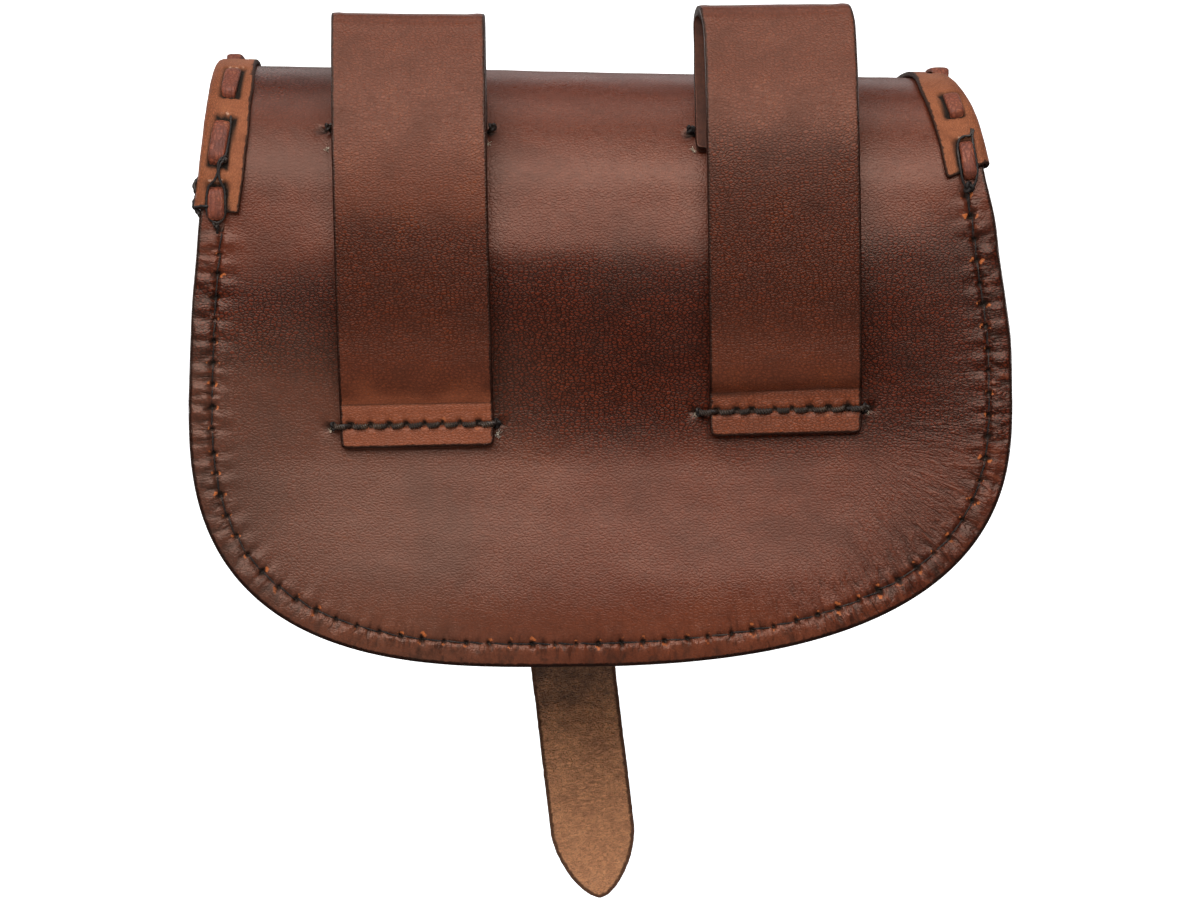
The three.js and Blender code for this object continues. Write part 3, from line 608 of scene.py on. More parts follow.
def cut_leather(cad_node, outline, place, wall, finishes, slot="brown_leather", seams=(),
                holes=(), relief=None, marks=None, extra=(), rings=(), fill=1.8, bevel=0.6,
                back_fill=4.0, edge_reach=1.0, gathers=None):
    """Cuts a piece of leather and bends it with place(flat, lift). finishes are those of the
    grain side with its edges, and of the flesh side. relief(flat) moves the grain side,
    marks(flat) gives masks such as `dark`, and gathers(flat) places seen from a seam."""
    loops = [outline, *holes]
    normals = [leftward(loop) for loop in loops]
    inner = [loop + bevel * normal for loop, normal in zip(loops, normals)]
    groups = [(seam.extra_points(), SEAM_SPACING) for seam in seams]
    groups += [(points, SEAM_SPACING) for points in extra]
    groups += [(outline + (bevel + far) * normals[0], RING_SPACING) for far in rings]
    groups.append((hexagonal(outline, fill), fill * 0.72))
    top_flat, triangles, borders = fill_flat(inner, groups)
    back_flat, back_triangles, back_borders = fill_flat(
        inner, [(hexagonal(outline, back_fill), back_fill * 0.7)])
    profile = edge_profile(wall, bevel)
    parts = [(top_flat, 0.0, False)]  # places, how deep they lie, whether on the rim
    faces, count = triangles.tolist(), len(top_flat)
    back_start = count + len(profile) * sum(len(loop) for loop in loops)
    for loop, normal, border, back_border in zip(loops, normals, borders, back_borders):
        rows = [border]
        for inward, down in profile:
            parts.append((loop + inward * normal, down, True))
            rows.append(range(count, count + len(loop)))
            count += len(loop)
        rows.append([number + back_start for number in back_border])
        for upper, lower in zip(rows, rows[1:]):
            faces += [[upper[b], upper[a], lower[a], lower[b]]
                      for a, b in zip(range(len(loop)), [*range(1, len(loop)), 0])]
    face_finish = [0] * len(faces) + [1] * len(back_triangles)
    parts.append((back_flat, wall, False))
    faces += (back_triangles[:, ::-1] + back_start).tolist()
    flat = np.vstack([places for places, _, _ in parts])
    depth, rim = (np.concatenate([np.full(len(part[0]), part[column]) for part in parts])
                  for column in (1, 2))
    grain = depth < wall * GRAIN_SHARE
    out = np.zeros(len(flat))
    for raised in [seam.relief for seam in seams] + ([relief] if relief else []):
        out[grain] += raised(flat[grain])
    out *= np.clip(1 - depth / (wall * GRAIN_SHARE), 0, 1)
    vertices = place(flat, out - depth)
    if volume_of(vertices, faces) < 0:
        faces = [face[::-1] for face in faces]
    made = make_object(cad_node + "_leather", vertices, faces, finishes, face_finish)
    give_pattern(made.data, flat)
    far = nearest(outline)(flat)[1]
    outer = depth < wall / 2
    edge = np.where(rim, 1.0, np.clip(1 - (far - bevel) / edge_reach, 0, 1) * outer)
    masks = {"dark": np.zeros(len(flat)), "worn": np.zeros(len(flat))}
    more = [{"dark": seam.dark(flat), "worn": seam.worn(flat)} for seam in seams]
    for given in more + ([marks(flat)] if marks else []):
        for key, values in given.items():
            masks[key] = np.maximum(masks.get(key, 0), values)
    give_values(made.data, edge=edge, **{key: masks[key] * outer for key in masks})
    if gathers is not None:
        give_values(made.data, "FLOAT_VECTOR", gathers=gathers(flat))
    finish_piece(made, slot, cad_node)
    return made


print("leather cutter ready")

# %% [markdown]
# ## Finishes
# Some colour is painted light: painted shade in the hollow across the back, in seams, creases and
# round the thongs, and painted sheen and highlights in a few places.
#
# What makes leather look like leather is that nothing about it is even: the dye takes in
# patches, the grain is a net of tiny pebbles with creases across it, handled places are
# smoother and darker, and cut edges are burnished nearly black. Each of these effects is a
# small node group, built once, and every leather has its own colours and sizes for them. The
# patterns follow the flat pattern of each piece, so they bend with the leather.
#
# Nodes are written as sums: a small class wraps a node's output, and + - * / ** with it add
# the math nodes that work the sum out.

# %% Node helpers
class Value:
    """The output of a node. Arithmetic with it adds math nodes to its tree."""

    def __init__(self, socket):
        self.socket, self.tree = socket, socket.id_data

    def __abs__(self):
        return calc("ABSOLUTE", self)


for sign, operation in (("add", "ADD"), ("sub", "SUBTRACT"), ("mul", "MULTIPLY"),
                        ("truediv", "DIVIDE"), ("pow", "POWER")):
    setattr(Value, f"__{sign}__", lambda self, other, kind=operation: calc(kind, self, other))
    setattr(Value, f"__r{sign}__", lambda self, other, kind=operation: calc(kind, other, self))


def tree_of(*values):
    return next(value.tree for value in values if isinstance(value, Value))


def give(socket, value):
    """Gives an input a plain value, or a link from a Value, or links from a list of them."""
    for one in value if isinstance(value, list) else [value]:
        if isinstance(one, Value):
            one.tree.links.new(one.socket, socket)
        else:
            socket.default_value = one


def node(tree, kind, inputs=None, out=0, **settings):
    """Adds a node, sets its settings and inputs, and returns one of its outputs."""
    made = tree.nodes.new(kind)
    for key, value in settings.items():
        setattr(made, key, value)
    for key, value in (inputs or {}).items():
        give(made.inputs[key], value)
    return Value(made.outputs[out])


def calc(operation, *values):
    """A math node, of the vector kind if any of its values is a vector or a colour."""
    vectors = any(value.socket.type in ("VECTOR", "RGBA") if isinstance(value, Value)
                  else isinstance(value, tuple) for value in values)
    if vectors:
        values = [(value,) * 3 if isinstance(value, (int, float)) else value
                  for value in values]
    return node(tree_of(*values), "ShaderNodeVectorMath" if vectors else "ShaderNodeMath",
                dict(enumerate(values)), operation=operation)


def mix(share, first, second):
    return node(tree_of(share, first, second), "ShaderNodeMix",
                {0: share, 6: first, 7: second}, 2, data_type="RGBA")


def between(value, low, high, out_low=0.0, out_high=1.0):
    """Smooth step of a value from low to high, scaled to run between the two outputs."""
    return node(value.tree, "ShaderNodeMapRange",
                {0: value, 1: low, 2: high, 3: out_low, 4: out_high},
                interpolation_type="SMOOTHSTEP")


def clouds(place, scale, detail, rough=0.5, distortion=0.0, out="Fac"):
    """Noise over places, as a number or, with out="Color", as three of them."""
    return node(place.tree, "ShaderNodeTexNoise", {
        "Vector": place, "Scale": scale, "Detail": detail, "Roughness": rough,
        "Distortion": distortion}, out)


def stored(tree, name, out="Fac"):
    """What was stored under a name on each vertex of a piece."""
    return node(tree, "ShaderNodeAttribute", out=out, attribute_name=name)


VECTOR, GEOMETRY, MATERIAL = "NodeSocketVector", "NodeSocketGeometry", "NodeSocketMaterial"
OUTPUT_KINDS = {"VALUE": "NodeSocketFloat", "RGBA": "NodeSocketColor", "VECTOR": VECTOR,
                "GEOMETRY": GEOMETRY}


def input_kind(value):
    """The kind of socket that a default value needs; a text names the kind itself."""
    if isinstance(value, tuple):
        return "NodeSocketColor" if len(value) == 4 else VECTOR
    return {int: "NodeSocketInt", float: "NodeSocketFloat"}.get(type(value), value)


def new_group(name, kind, **inputs):
    """A node group with named inputs, and those inputs as Values."""
    tree = bpy.data.node_groups.new(name, kind)
    for key, value in inputs.items():
        made = tree.interface.new_socket(key.replace("_", " "), in_out="INPUT",
                                         socket_type=input_kind(value))
        if not isinstance(value, str):
            made.default_value = value
    start = tree.nodes.new("NodeGroupInput")
    return tree, {socket.name: Value(socket) for socket in start.outputs if socket.name}


def end_group(tree, **outputs):
    """Gives a group its named outputs, and returns it."""
    for key, value in outputs.items():
        tree.interface.new_socket(key, in_out="OUTPUT",
                                  socket_type=OUTPUT_KINDS[value.socket.type])
    end = tree.nodes.new("NodeGroupOutput")
    for key, value in outputs.items():
        give(end.inputs[key], value)
    print("group:", tree.name)
    return tree


def use_group(tree, group, **values):
    made = tree.nodes.new("ShaderNodeGroup")
    made.node_tree = group
    for key, value in values.items():
        give(made.inputs[key.replace("_", " ")], value)
    return {socket.name: Value(socket) for socket in made.outputs}


def srgb(text):
    """A colour written as six hex digits, as the linear values that nodes use."""
    parts = [int(text[i:i + 2], 16) / 255 for i in (0, 2, 4)]
    linear = [c / 12.92 if c <= 0.04045 else ((c + 0.055) / 1.055) ** 2.4 for c in parts]
    return (*linear, 1.0)


print("node helpers ready")

# %% Group: leather grain
BROWN, DARK, PALE = (0.2, 0.1, 0.05, 1.0), (0.1, 0.05, 0.02, 1.0), (0.3, 0.15, 0.08, 1.0)


def build_grain_group():
    """Pebbles of the grain side, and the fine creases that run across it."""
    tree, given = new_group("Leather grain", "ShaderNodeTree", Vector=VECTOR, Pebble=0.0008,
                            Crease=0.0011, Crease_share=0.6)
    size = given["Vector"] / given["Pebble"]
    warped = 0.9 * clouds(0.6 * size, 1.0, 2.0, out="Color") + size
    cells = node(tree, "ShaderNodeTexVoronoi", {
        "Vector": warped * (0.72, 1.1, 1.0), "Scale": 1.0}, "Distance",
        feature="DISTANCE_TO_EDGE", voronoi_dimensions="2D")
    pebbles = between(cells, 0.0, 0.32)
    lines = given["Vector"] * (1 / 1.7, 1.0, 1.0) / given["Crease"]
    ridge = abs(clouds(lines, 0.7, 3.0, 0.55, 0.6) - 0.5)
    creases = (between(ridge, 0.0, 0.07) - 1.0) * given["Crease share"] + 1.0
    coarse = clouds(size, 0.22, 2.0)
    return end_group(tree, Height=0.5 * coarse + 0.55 * pebbles + 0.45 * creases,
                     Pores=1.0 - pebbles * creases)


grain_group = build_grain_group()

# %% Group: hand dye
def build_dye_group():
    """Colour that took unevenly: large soft patches, small mottling and darker pores."""
    tree, given = new_group("Hand dye", "ShaderNodeTree", Vector=VECTOR, Base=BROWN, Deep=DARK,
                            Light=PALE, Patch=0.03, Pores=0.0, Pore_depth=0.3, Mottling=0.42)
    by_patch = given["Vector"] / given["Patch"]
    patches = clouds(by_patch, 1.0, 6.0, 0.68, 0.4)
    small = clouds(by_patch, 14.0, 3.0, 0.6)
    colour = mix(between(patches, 0.48, 0.66, 0.0, 0.7), given["Base"], given["Deep"])
    colour = mix(between(patches, 0.48, 0.3, 0.0, 0.7), colour, given["Light"])
    colour = mix(between(small, 0.42, 0.68) * given["Mottling"], colour, given["Deep"])
    colour = mix(given["Pores"] * given["Pore depth"], colour, given["Deep"])
    return end_group(tree, Color=colour, Mottle=patches)


dye_group = build_dye_group()

# %% Group: marks of making and use
SCRATCH_ANGLE = 0.4
SCRATCH_SCALE = (28.0, 1500.0, 1.0)  # long along the leather and thin across it
# Near-black colour of painted shade.
PAINTED_SHADE = (0.01, 0.008, 0.006, 1.0)


def build_marks_group():
    """Paints the masks stored on a piece: burnished edge, painted shade in seams, pits, creases
    and round the thongs, and rubbed dye, which on the binding is a painted highlight on the lips
    of the thong slots.
    """
    tree, given = new_group("Marks", "ShaderNodeTree", Vector=VECTOR, Color=BROWN, Edge_color=DARK,
                            Worn_color=PALE, Scratches=0.4)
    place = given["Vector"]
    edge, dark, worn = (stored(tree, name) for name in ("edge", "dark", "worn"))
    turned = node(tree, "ShaderNodeVectorRotate", {
        "Vector": place, "Angle": SCRATCH_ANGLE}, rotation_type="Z_AXIS")
    lines = clouds(turned * SCRATCH_SCALE, 1.0, 1.0, distortion=0.3)
    scratch = between(lines, 0.66, 0.74) * between(clouds(place, 45.0, 2.0), 0.5, 0.66)
    scratch = scratch * given["Scratches"]
    ragged = clouds(place, 900.0, 2.0) - 0.5
    torn = between(1.4 * ragged + worn, 0.3, 0.55)
    rubbed = calc("MAXIMUM", scratch, torn * worn ** 0.4)
    burnt = between(0.9 * ragged + edge, 0.45, 0.95)
    colour = mix(rubbed, given["Color"], given["Worn color"])
    # Painted shade where the dark mask lies.
    colour = mix(dark, mix(burnt, colour, given["Edge color"]), PAINTED_SHADE)
    return end_group(tree, Color=colour, Roughness=0.25 * rubbed + 0.2 * dark,
                     Height=-0.5 * scratch)


marks_group = build_marks_group()

# %% Group: fibres
def build_fibre_group():
    """Short matted fibres of a flesh side or a raw edge, with small tufts and pits."""
    tree, given = new_group("Fibres", "ShaderNodeTree", Vector=VECTOR, Fibre=0.0006)
    size = given["Vector"] / given["Fibre"]
    warped = 3.0 * clouds(size, 0.25, 3.0, distortion=1.5, out="Color") + size
    strands = clouds(warped * (0.55, 1.2, 1.0), 0.9, 5.0, 0.65, 0.8)
    return end_group(tree, Height=0.8 * clouds(size, 0.12, 3.0) + strands,
                     Tone=between(strands, 0.32, 0.58))


fibre_group = build_fibre_group()

# %% Leather materials
# Greyish colour of a painted sheen low on the left of the back.
GREY_SHEEN = srgb("5f4c3f")
WRINKLE_SCALE = (640.0, 175.0, 0.0)  # fine along a seam, coarse away from it
CRACK_SCALE = (300.0, 720.0, 0.0)  # coarse across the strap, fine along it


def new_material(name):
    made = bpy.data.materials.new(name)
    made.use_nodes = True
    return made, made.node_tree


def finish_shader(tree, colour, rough, height, depth, strength=1.0, **constants):
    """Gives the Principled BSDF its colour, roughness, bump and constants."""
    shader = tree.nodes["Principled BSDF"]
    give(shader.inputs["Base Color"], colour)
    give(shader.inputs["Roughness"], rough)
    give(shader.inputs["Normal"], node(tree, "ShaderNodeBump", {
        "Height": height, "Strength": strength, "Distance": depth}))
    for key, value in constants.items():
        give(shader.inputs[key.replace("_", " ")], value)


def grain_leather(name, colours, rough, pebble=0.00075, crease=0.0009, depth=0.000038,
                  patch=0.03, pore_depth=0.45, bare=None, shine=0.5, mottling=0.42,
                  pebbled=((0.9, 0.66, 0.56), (0.17, 0.12, 0.1))):
    """Dyed and waxed grain side. colours are base, deep, light, edge and worn. pebbled is what
    the tops and the pits of the grain keep of the dye's colour under the darker dye and painted
    shade; the darker pits are painted shade of the pebbles."""
    made, tree = new_material(name)
    base, deep, light, edge, worn = map(srgb, colours)
    place = node(tree, "ShaderNodeUVMap", uv_map="pattern")
    grain = use_group(tree, grain_group, Vector=place, Pebble=pebble, Crease=crease)
    # A lighter colour: bare leather on the pared loop tabs, and a painted sheen low on the back.
    if bare is not None:
        lightened = stored(tree, "bare")
        base, light = mix(lightened, base, srgb(bare)), mix(lightened, light, srgb(bare))
        deep = mix(0.5 * lightened, deep, srgb(bare))
    dye = use_group(tree, dye_group, Vector=place, Base=base, Deep=deep, Light=light,
                    Patch=patch, Pores=grain["Pores"], Pore_depth=pore_depth,
                    Mottling=mottling)
    # Under the darker dye and painted shade, the pits of the pebbles are painted darker still, as
    # shade.
    dyed_and_shaded = dye["Color"] * mix(grain["Pores"], *((*part, 1.0) for part in pebbled))
    colour = mix(stored(tree, "soaked"), dye["Color"], dyed_and_shaded)
    # Greyish painted sheen.
    colour = mix(stored(tree, "bloom"), colour, GREY_SHEEN)
    gathers = stored(tree, "gathers", "Vector")
    wrinkles = clouds(gathers * WRINKLE_SCALE, 1.0, 3.0, 0.65, 0.9)
    wrinkles = (wrinkles - 0.5) * node(tree, "ShaderNodeSeparateXYZ", {0: gathers}, 2)
    # Painted shade in the valleys of the wrinkles beside the seams, and painted highlight on their
    # ridges.
    colour = mix(between(wrinkles, 0.0, -0.13, 0.0, 0.62), colour, edge)
    colour = mix(between(wrinkles, 0.02, 0.2, 0.0, 0.7), colour, light)
    marks = use_group(tree, marks_group, Vector=place, Color=colour, Edge_color=edge,
                      Worn_color=worn, Scratches=0.07)
    uneven = between(dye["Mottle"], 0.35, 0.65, rough - 0.03, rough + 0.05)
    finish_shader(tree, marks["Color"], uneven + 0.06 * grain["Pores"] + marks["Roughness"],
                  grain["Height"] + marks["Height"] + 12.0 * wrinkles, depth,
                  Specular_IOR_Level=shine, Specular_Tint=(1.0, 0.67, 0.54, 1.0))
    return made


def flesh_leather(name, colours, fibre=0.0006, depth=0.00018, patch=0.02, stain="6a4b39",
                  matted=0.45):
    """Undyed or stained flesh side, matt and fibrous. colours are base, deep, light, edge."""
    made, tree = new_material(name)
    base, deep, light, edge = map(srgb, colours)
    place = node(tree, "ShaderNodeUVMap", uv_map="pattern")
    fibres = use_group(tree, fibre_group, Vector=place, Fibre=fibre)
    dye = use_group(tree, dye_group, Vector=place, Base=base, Deep=deep, Light=light,
                    Patch=patch, Pores=1.0 - fibres["Tone"], Pore_depth=matted)
    # A stain with a painted shadow over it, darker towards the top of the strap's tail.
    blotted = 0.9 * stored(tree, "stain") - 0.4 * (fibres["Tone"] - 0.5)
    colour = mix(between(blotted, 0.0, 1.0), dye["Color"], srgb(stain))
    lines = clouds(place * CRACK_SCALE, 1.0, 3.0, 0.6, 1.2)
    cracks = between(abs(lines - 0.5), 0.045, 0.0) * between(clouds(place, 75.0, 2.0), 0.34, 0.5)
    cracks = cracks * stored(tree, "cracked")
    marks = use_group(tree, marks_group, Vector=place, Color=mix(cracks, colour, edge),
                      Edge_color=edge, Worn_color=light, Scratches=0.15)
    finish_shader(tree, marks["Color"], 0.92, fibres["Height"] - 0.8 * cracks, depth)
    return made


brown_leather = grain_leather(
    "brown_leather", ("612d1d", "451f14", "6e3824", "26130d", "b8622f"), 0.27, bare="84482f")
loop_leather = grain_leather(
    "loop_leather", ("693422", "4e2618", "7c4026", "26130d", "a85e36"), 0.29,
    pebble=0.0007, depth=0.00006, patch=0.009, bare="8a4a30", shine=0.38, pore_depth=0.7,
    mottling=0.8, pebbled=((0.8, 0.64, 0.57), (0.34, 0.28, 0.25)))
tan_leather = grain_leather(
    "tan_leather", ("935637", "6f3d26", "a0613c", "2c1810", "c79f86"), 0.55,
    pebble=0.0006, depth=0.00007, patch=0.009, pore_depth=0.3, shine=0.3)
flesh_brown = flesh_leather("flesh_brown", ("5b3526", "3c2219", "6f4532", "1e120e"))
strap_flesh = flesh_leather(
    "strap_flesh", ("eea775", "b27653", "f2b283", "6b432b"), fibre=0.0004, depth=0.001,
    patch=0.03, matted=0.9, stain="6e5443")
print("leathers:", brown_leather.name, loop_leather.name, tan_leather.name, strap_flesh.name)

# %% Thread, brass and thong
def thread_material(name, colour, light):
    """Waxed linen thread: twisted fibres, a little shine where the wax is thick."""
    made, tree = new_material(name)
    place = node(tree, "ShaderNodeTexCoord", out="Object")
    wax = clouds(place, 260.0, 2.0)
    finish_shader(tree, mix(between(wax, 0.45, 0.7), srgb(colour), srgb(light)),
                  between(wax, 0.35, 0.7, 0.75, 0.45), clouds(place, 4200.0, 3.0, 0.6),
                  0.00006, 0.8)
    return made


def brass_material():
    """Cast brass with a worn shine and brown tarnish in its patches."""
    made, tree = new_material("buckle_brass")
    place = node(tree, "ShaderNodeTexCoord", out="Object")
    dull = between(clouds(place, 180.0, 5.0, 0.65), 0.42, 0.68)
    scuffs = clouds(place * (400.0, 400.0, 2600.0), 1.0, 3.0)
    finish_shader(tree, mix(dull, srgb("c9a25a"), srgb("7d5f30")),
                  0.25 * dull + between(scuffs, 0.35, 0.7, 0.22, 0.36), scuffs, 0.00003, 0.3,
                  Metallic=1.0)
    return made


def thong_material():
    """The thong's finish, on Object coordinates because its copies have no pattern map."""
    made, tree = new_material("thong_leather")
    place = node(tree, "ShaderNodeTexCoord", out="Object")
    grain = use_group(tree, grain_group, Vector=place, Pebble=0.0007, Crease=0.0009)
    dye = use_group(tree, dye_group, Vector=place, Base=srgb("8a452d"), Deep=srgb("4e2317"),
                    Light=srgb("a8623f"), Patch=0.004, Pores=grain["Pores"], Pore_depth=0.6)
    finish_shader(tree, dye["Color"], 0.15 * grain["Pores"] + 0.45, grain["Height"], 0.0001,
                  Specular_IOR_Level=0.35)
    return made


black_thread = thread_material("black_thread", "1c1411", "33271f")
brown_thread = thread_material("brown_thread", "2f231b", "4a392c")
pale_fluff = thread_material("pale_fluff", "cfc0a8", "efe6d6")
buckle_brass = brass_material()
thong_leather = thong_material()
print("thread, brass and thong ready")

# %% [markdown]
# ## Back and flap
#
# The main piece is shown from its grain side. Its shape is the pattern bent over the top; what
# makes it look handled is small: the border outside the seam bulges, the leather dips at the
# rows that hold the belt loops, and slow waves run through it all. They are added as relief on
# the grain side, a few tenths of a millimetre high.

# %% Belt loops: sizes and middle lines
LOOP_WALL = 2.2
LOOP_SEAT = 0.5
LOOP_FOLD = 2.5
LOOP_INNER_END = 9.0
LOOP_INNER_ROW = 4.9  # from the inner end to its row of stitches
LOOP_CREASE = 5.0
LOOP_PITCH = 4.2
LOOPS = {
    "left": {"top": -42.35, "bottom": -40.1, "width": 33.8, "top_z": 1.4, "stitch_z": -89.5,
             "end_z": -94.4, "top_tilt": -0.018, "end_tilt": 0.022, "twist": 0.0,
             "soaked": 57, "tab": 1.0, "crest": 0.0, "tab_v": 4.9, "crease": (9.8, 0.004),
             "beyond": (1.8, 0.9)},
    "right": {"top": 39.5, "bottom": 40.9, "width": 33.4, "top_z": 3.1, "stitch_z": -86.4,
              "end_z": -91.6, "top_tilt": 0.033, "end_tilt": 0.026, "twist": -2.2,
              "soaked": 73.5, "tab": 0.42, "crest": 1.2, "tab_v": 5.4, "crease": (10.2, 0.022),
              "beyond": (2.8, 1.3)},
}
LOOP_BOW = [(-79, -7.2), (-69, -9.1), (-58, -10.7), (-46, -11.7), (-36, -11.8), (-27, -10.9),
            (-18, -8.9), (-9, -5.9)]
LOOP_INNER_LEG = [(3.8, -8.5), (3.0, -14.5)]


class CentreLine:
    """Centripetal Catmull-Rom curve through points, closely sampled."""

    def __init__(self, points, steps=40):
        known = np.array(points, float)
        known = np.vstack([2 * known[0] - known[1], known, 2 * known[-1] - known[-2]])
        count = len(known) - 3
        places, parts = [], []
        for index in range(count):
            p0, p1, p2, p3 = known[index:index + 4]
            d0, d1, d2 = (math.sqrt(np.linalg.norm(b - a))
                          for a, b in ((p0, p1), (p1, p2), (p2, p3)))
            m1 = ((p1 - p0) / d0 - (p2 - p0) / (d0 + d1) + (p2 - p1) / d1) * d1
            m2 = ((p2 - p1) / d1 - (p3 - p1) / (d1 + d2) + (p3 - p2) / d2) * d1
            for step in range(steps + (index == count - 1)):
                places.append(hermite(step / steps, p1, p2, m1, m2))
                parts.append((index + step / steps) / count)
        self.places, self.parts = np.array(places), np.array(parts)
        self.forward = unit(np.gradient(self.places, axis=0))
        self.lengths = lengths_of(self.places)
        self.length = self.lengths[-1]

    def frame(self, at):
        """Places at lengths along the line, directions out of it and parts of the line."""
        middle, forward = (read_columns(at, self.lengths, rows)
                           for rows in (self.places, self.forward))
        facing = unit(columns(0.0, -forward[:, 2], forward[:, 1]))
        return middle, facing, np.interp(at, self.lengths, self.parts)


def loop_line(loop):
    x = (loop["top"] + loop["bottom"]) / 2
    lift, fold = LOOP_SEAT + LOOP_WALL / 2, LOOP_FOLD + LOOP_WALL / 2
    fold_z = loop["top_z"] - LOOP_WALL - LOOP_FOLD
    sewn = [loop["end_z"], loop["stitch_z"], loop["stitch_z"] + LOOP_CREASE]
    points = [on_leather([(x, z - FOLD_Z)], lift)[0] for z in sewn]
    points += [(x, y, z) for z, y in LOOP_BOW]
    points += [(x, fold * math.cos(turn), fold_z + fold * math.sin(turn))
               for turn in np.linspace(math.pi, 0, 5)]
    points += [(x, y, z) for y, z in LOOP_INNER_LEG]
    points += [on_leather([(x, LOOP_INNER_END + more)], lift)[0] for more in (9, 5, 0)]
    return CentreLine(points)


for loop in LOOPS.values():
    loop["line"] = loop_line(loop)
    print("length of a belt loop strap, mm:", round(loop["line"].length, 1))

# %% Rows of stitches that hold the loops, on the back
def row_across(middle, along, ends, tilt, seed):
    """A row from ends[0] to the left of the middle to ends[1] to the right of it."""
    ends = [(middle + side, along + tilt * side) for side in (-ends[0], ends[1])]
    return Seam(ends, LOOP_PITCH, seed, wander=0.25, creased=0.35, tall=1.1)


for number, loop in enumerate(LOOPS.values()):
    half = loop["width"] / 2
    loop["low_row"] = row_across(loop["bottom"], loop["end_z"] + loop["tab_v"] - FOLD_Z,
                                 half + np.array(loop["beyond"]), loop["end_tilt"], 20 + number)
    loop["high_row"] = row_across(loop["top"] + 0.8 * loop["twist"],
                                  LOOP_INNER_END + LOOP_INNER_ROW, (half + 1.3, half + 1.3),
                                  0.0, 30 + number)
loop_rows = [loop[row] for loop in LOOPS.values() for row in ("low_row", "high_row")]
print("rows that hold the loops:", len(loop_rows))

# %% Back and flap
def border_bulge(far):
    """1 midway between the cut edge and the seam, 0 at both."""
    return np.where(far < SEAM_INSET, np.sin(np.pi * np.clip(far / SEAM_INSET, 0, 1)), 0)


def along_seam(flat):
    """Places seen from the seam, drawn out across it, and how far off it they lie."""
    length, off = back_seam.near(flat)[:2]
    return columns(length, 0.35 * off), off


def waves_of_back(flat):
    """Relief of the main piece beside its seams: slow waves and the bulging border."""
    x, along = flat.T
    out = ripples(flat, (0.28, 34.0, 1.0), (0.10, 9.0, 2.0))
    out += 0.035 * ripple(flat * (0.5, 1.0), 2.6, 3.0)
    far = from_edge(flat)[1]
    near = (far < 9) & (along < 2)
    across, off = (values[near] for values in along_seam(flat))
    crumpled = np.zeros(len(flat))
    crumpled[near] = ripples(across, (0.12, 1.7, 4.0), (0.2, 4.0, 5.0))
    crumpled[near] += np.where(off < 0, 0.85, 0.3) * (np.abs(ripple(across, 3.0, 14.0)) - 0.12)
    crumpled *= np.clip((9 - far) / 5, 0, 1) * np.clip(far / 1.2, 0, 1)
    pressed = bell(far - 1.7 - 0.5 * ripple(flat, 7.0, 7.0), 0.3)
    out -= 0.3 * pressed * smooth_step((x - 20) / 50) * smooth_step((-20 - along) / 25)
    sewn = np.clip((2.0 - along) / 10, 0, 1)
    return out + sewn * (border_bulge(far) * 0.42 + 1.25 * crumpled)


def marks_of_back(flat):
    """Darker dye and painted shade across the hollow of the back, where it leans forward,
    unevenly;
    painted shade at the top left and towards the sides, a lighter painted sheen low on the back,
    a greyish painted sheen low on the left, and painted shade in the creases of the border."""
    x, true_along = flat.T
    along = true_along + ripples(flat, (4.0, 30.0, 5.0), (1.2, 8.0, 6.0))
    # Darker dye with painted shade between the two sheens, where the back leans forward.
    upper = smooth_step((-7 + 0.06 * x - along) / 11)
    lower = smooth_step((along + 64 - 18 * smooth_step((-x - 15) / 50)) / 14)
    # Painted shade towards the sides.
    darker_sides = 0.35 * smooth_step((np.abs(x + 5) - 45) / 30)
    hollow = np.maximum(upper * lower, darker_sides * upper) * (true_along < 10)
    # Painted shade at the top left.
    top_left = smooth_step((-48 - x) / 20) * smooth_step((along - 14) / 14) * smooth_step(
        (70 - along) / 20)
    across, off = along_seam(flat)
    # Lighter colour low on the back: a painted sheen along the bottom seam and on the border below
    # it.
    bare = smooth_step((-86 - along) / 13) * np.where(off > 0, 0.35, 0.4)
    # Greyish painted sheen low on the left.
    bloom = smooth_step((-22 - along) / 20) * smooth_step((10 - x) / 60)
    outside = (off < -0.4) & (off > -5) & (true_along < -8)
    # Painted shade in the creases of the border outside the seam.
    folds = np.zeros(len(flat))
    folds[outside] = 0.5 - 0.5 * smooth_step(np.abs(ripple(across[outside], 3.0, 14.0)) / 0.09)
    return {"soaked": np.maximum(hollow, 0.75 * top_left), "bare": bare, "bloom": 0.24 * bloom,
            "dark": folds}


def gathers_of_back(flat):
    """Length along the seam and distance off it, in metres, and how gathered the leather is:
    the wrinkles reach furthest in from the seam low on the right."""
    x, along = flat.T
    length, off = back_seam.near(flat)[:2]
    low_right = smooth_step((x - 15) / 60) * smooth_step((-22 - along) / 40)
    strength = np.exp(-np.maximum(np.abs(off) - 1.2, 0) / (2.2 + 15 * low_right)) * (along < 4)
    strength *= np.where(off < 0, 0.9 + 0.3 * low_right, 0.4 + 0.6 * low_right)
    return columns(length * MM, off * MM, strength)


cut_leather("back_and_flap", pattern_outline, on_leather, BODY_WALL,
            (brown_leather, flesh_brown), seams=[back_seam, *loop_rows], relief=waves_of_back,
            marks=marks_of_back, gathers=gathers_of_back, rings=(0.55, 1.15, 1.85, 2.6),
            edge_reach=0.7)

# %% [markdown]
# ## Gusset and front panel
#
# The pocket's side is one strip, folded into a flange on each edge and sewn between the back
# and the front panel. It is cut flat like the rest: one direction runs round the pouch, the
# other across the strip, and the bend turns the second into flange, wall and flange.

# %% A strip that follows an edge
EDGE_STEP, SECTION_STEP = 0.5, 0.15


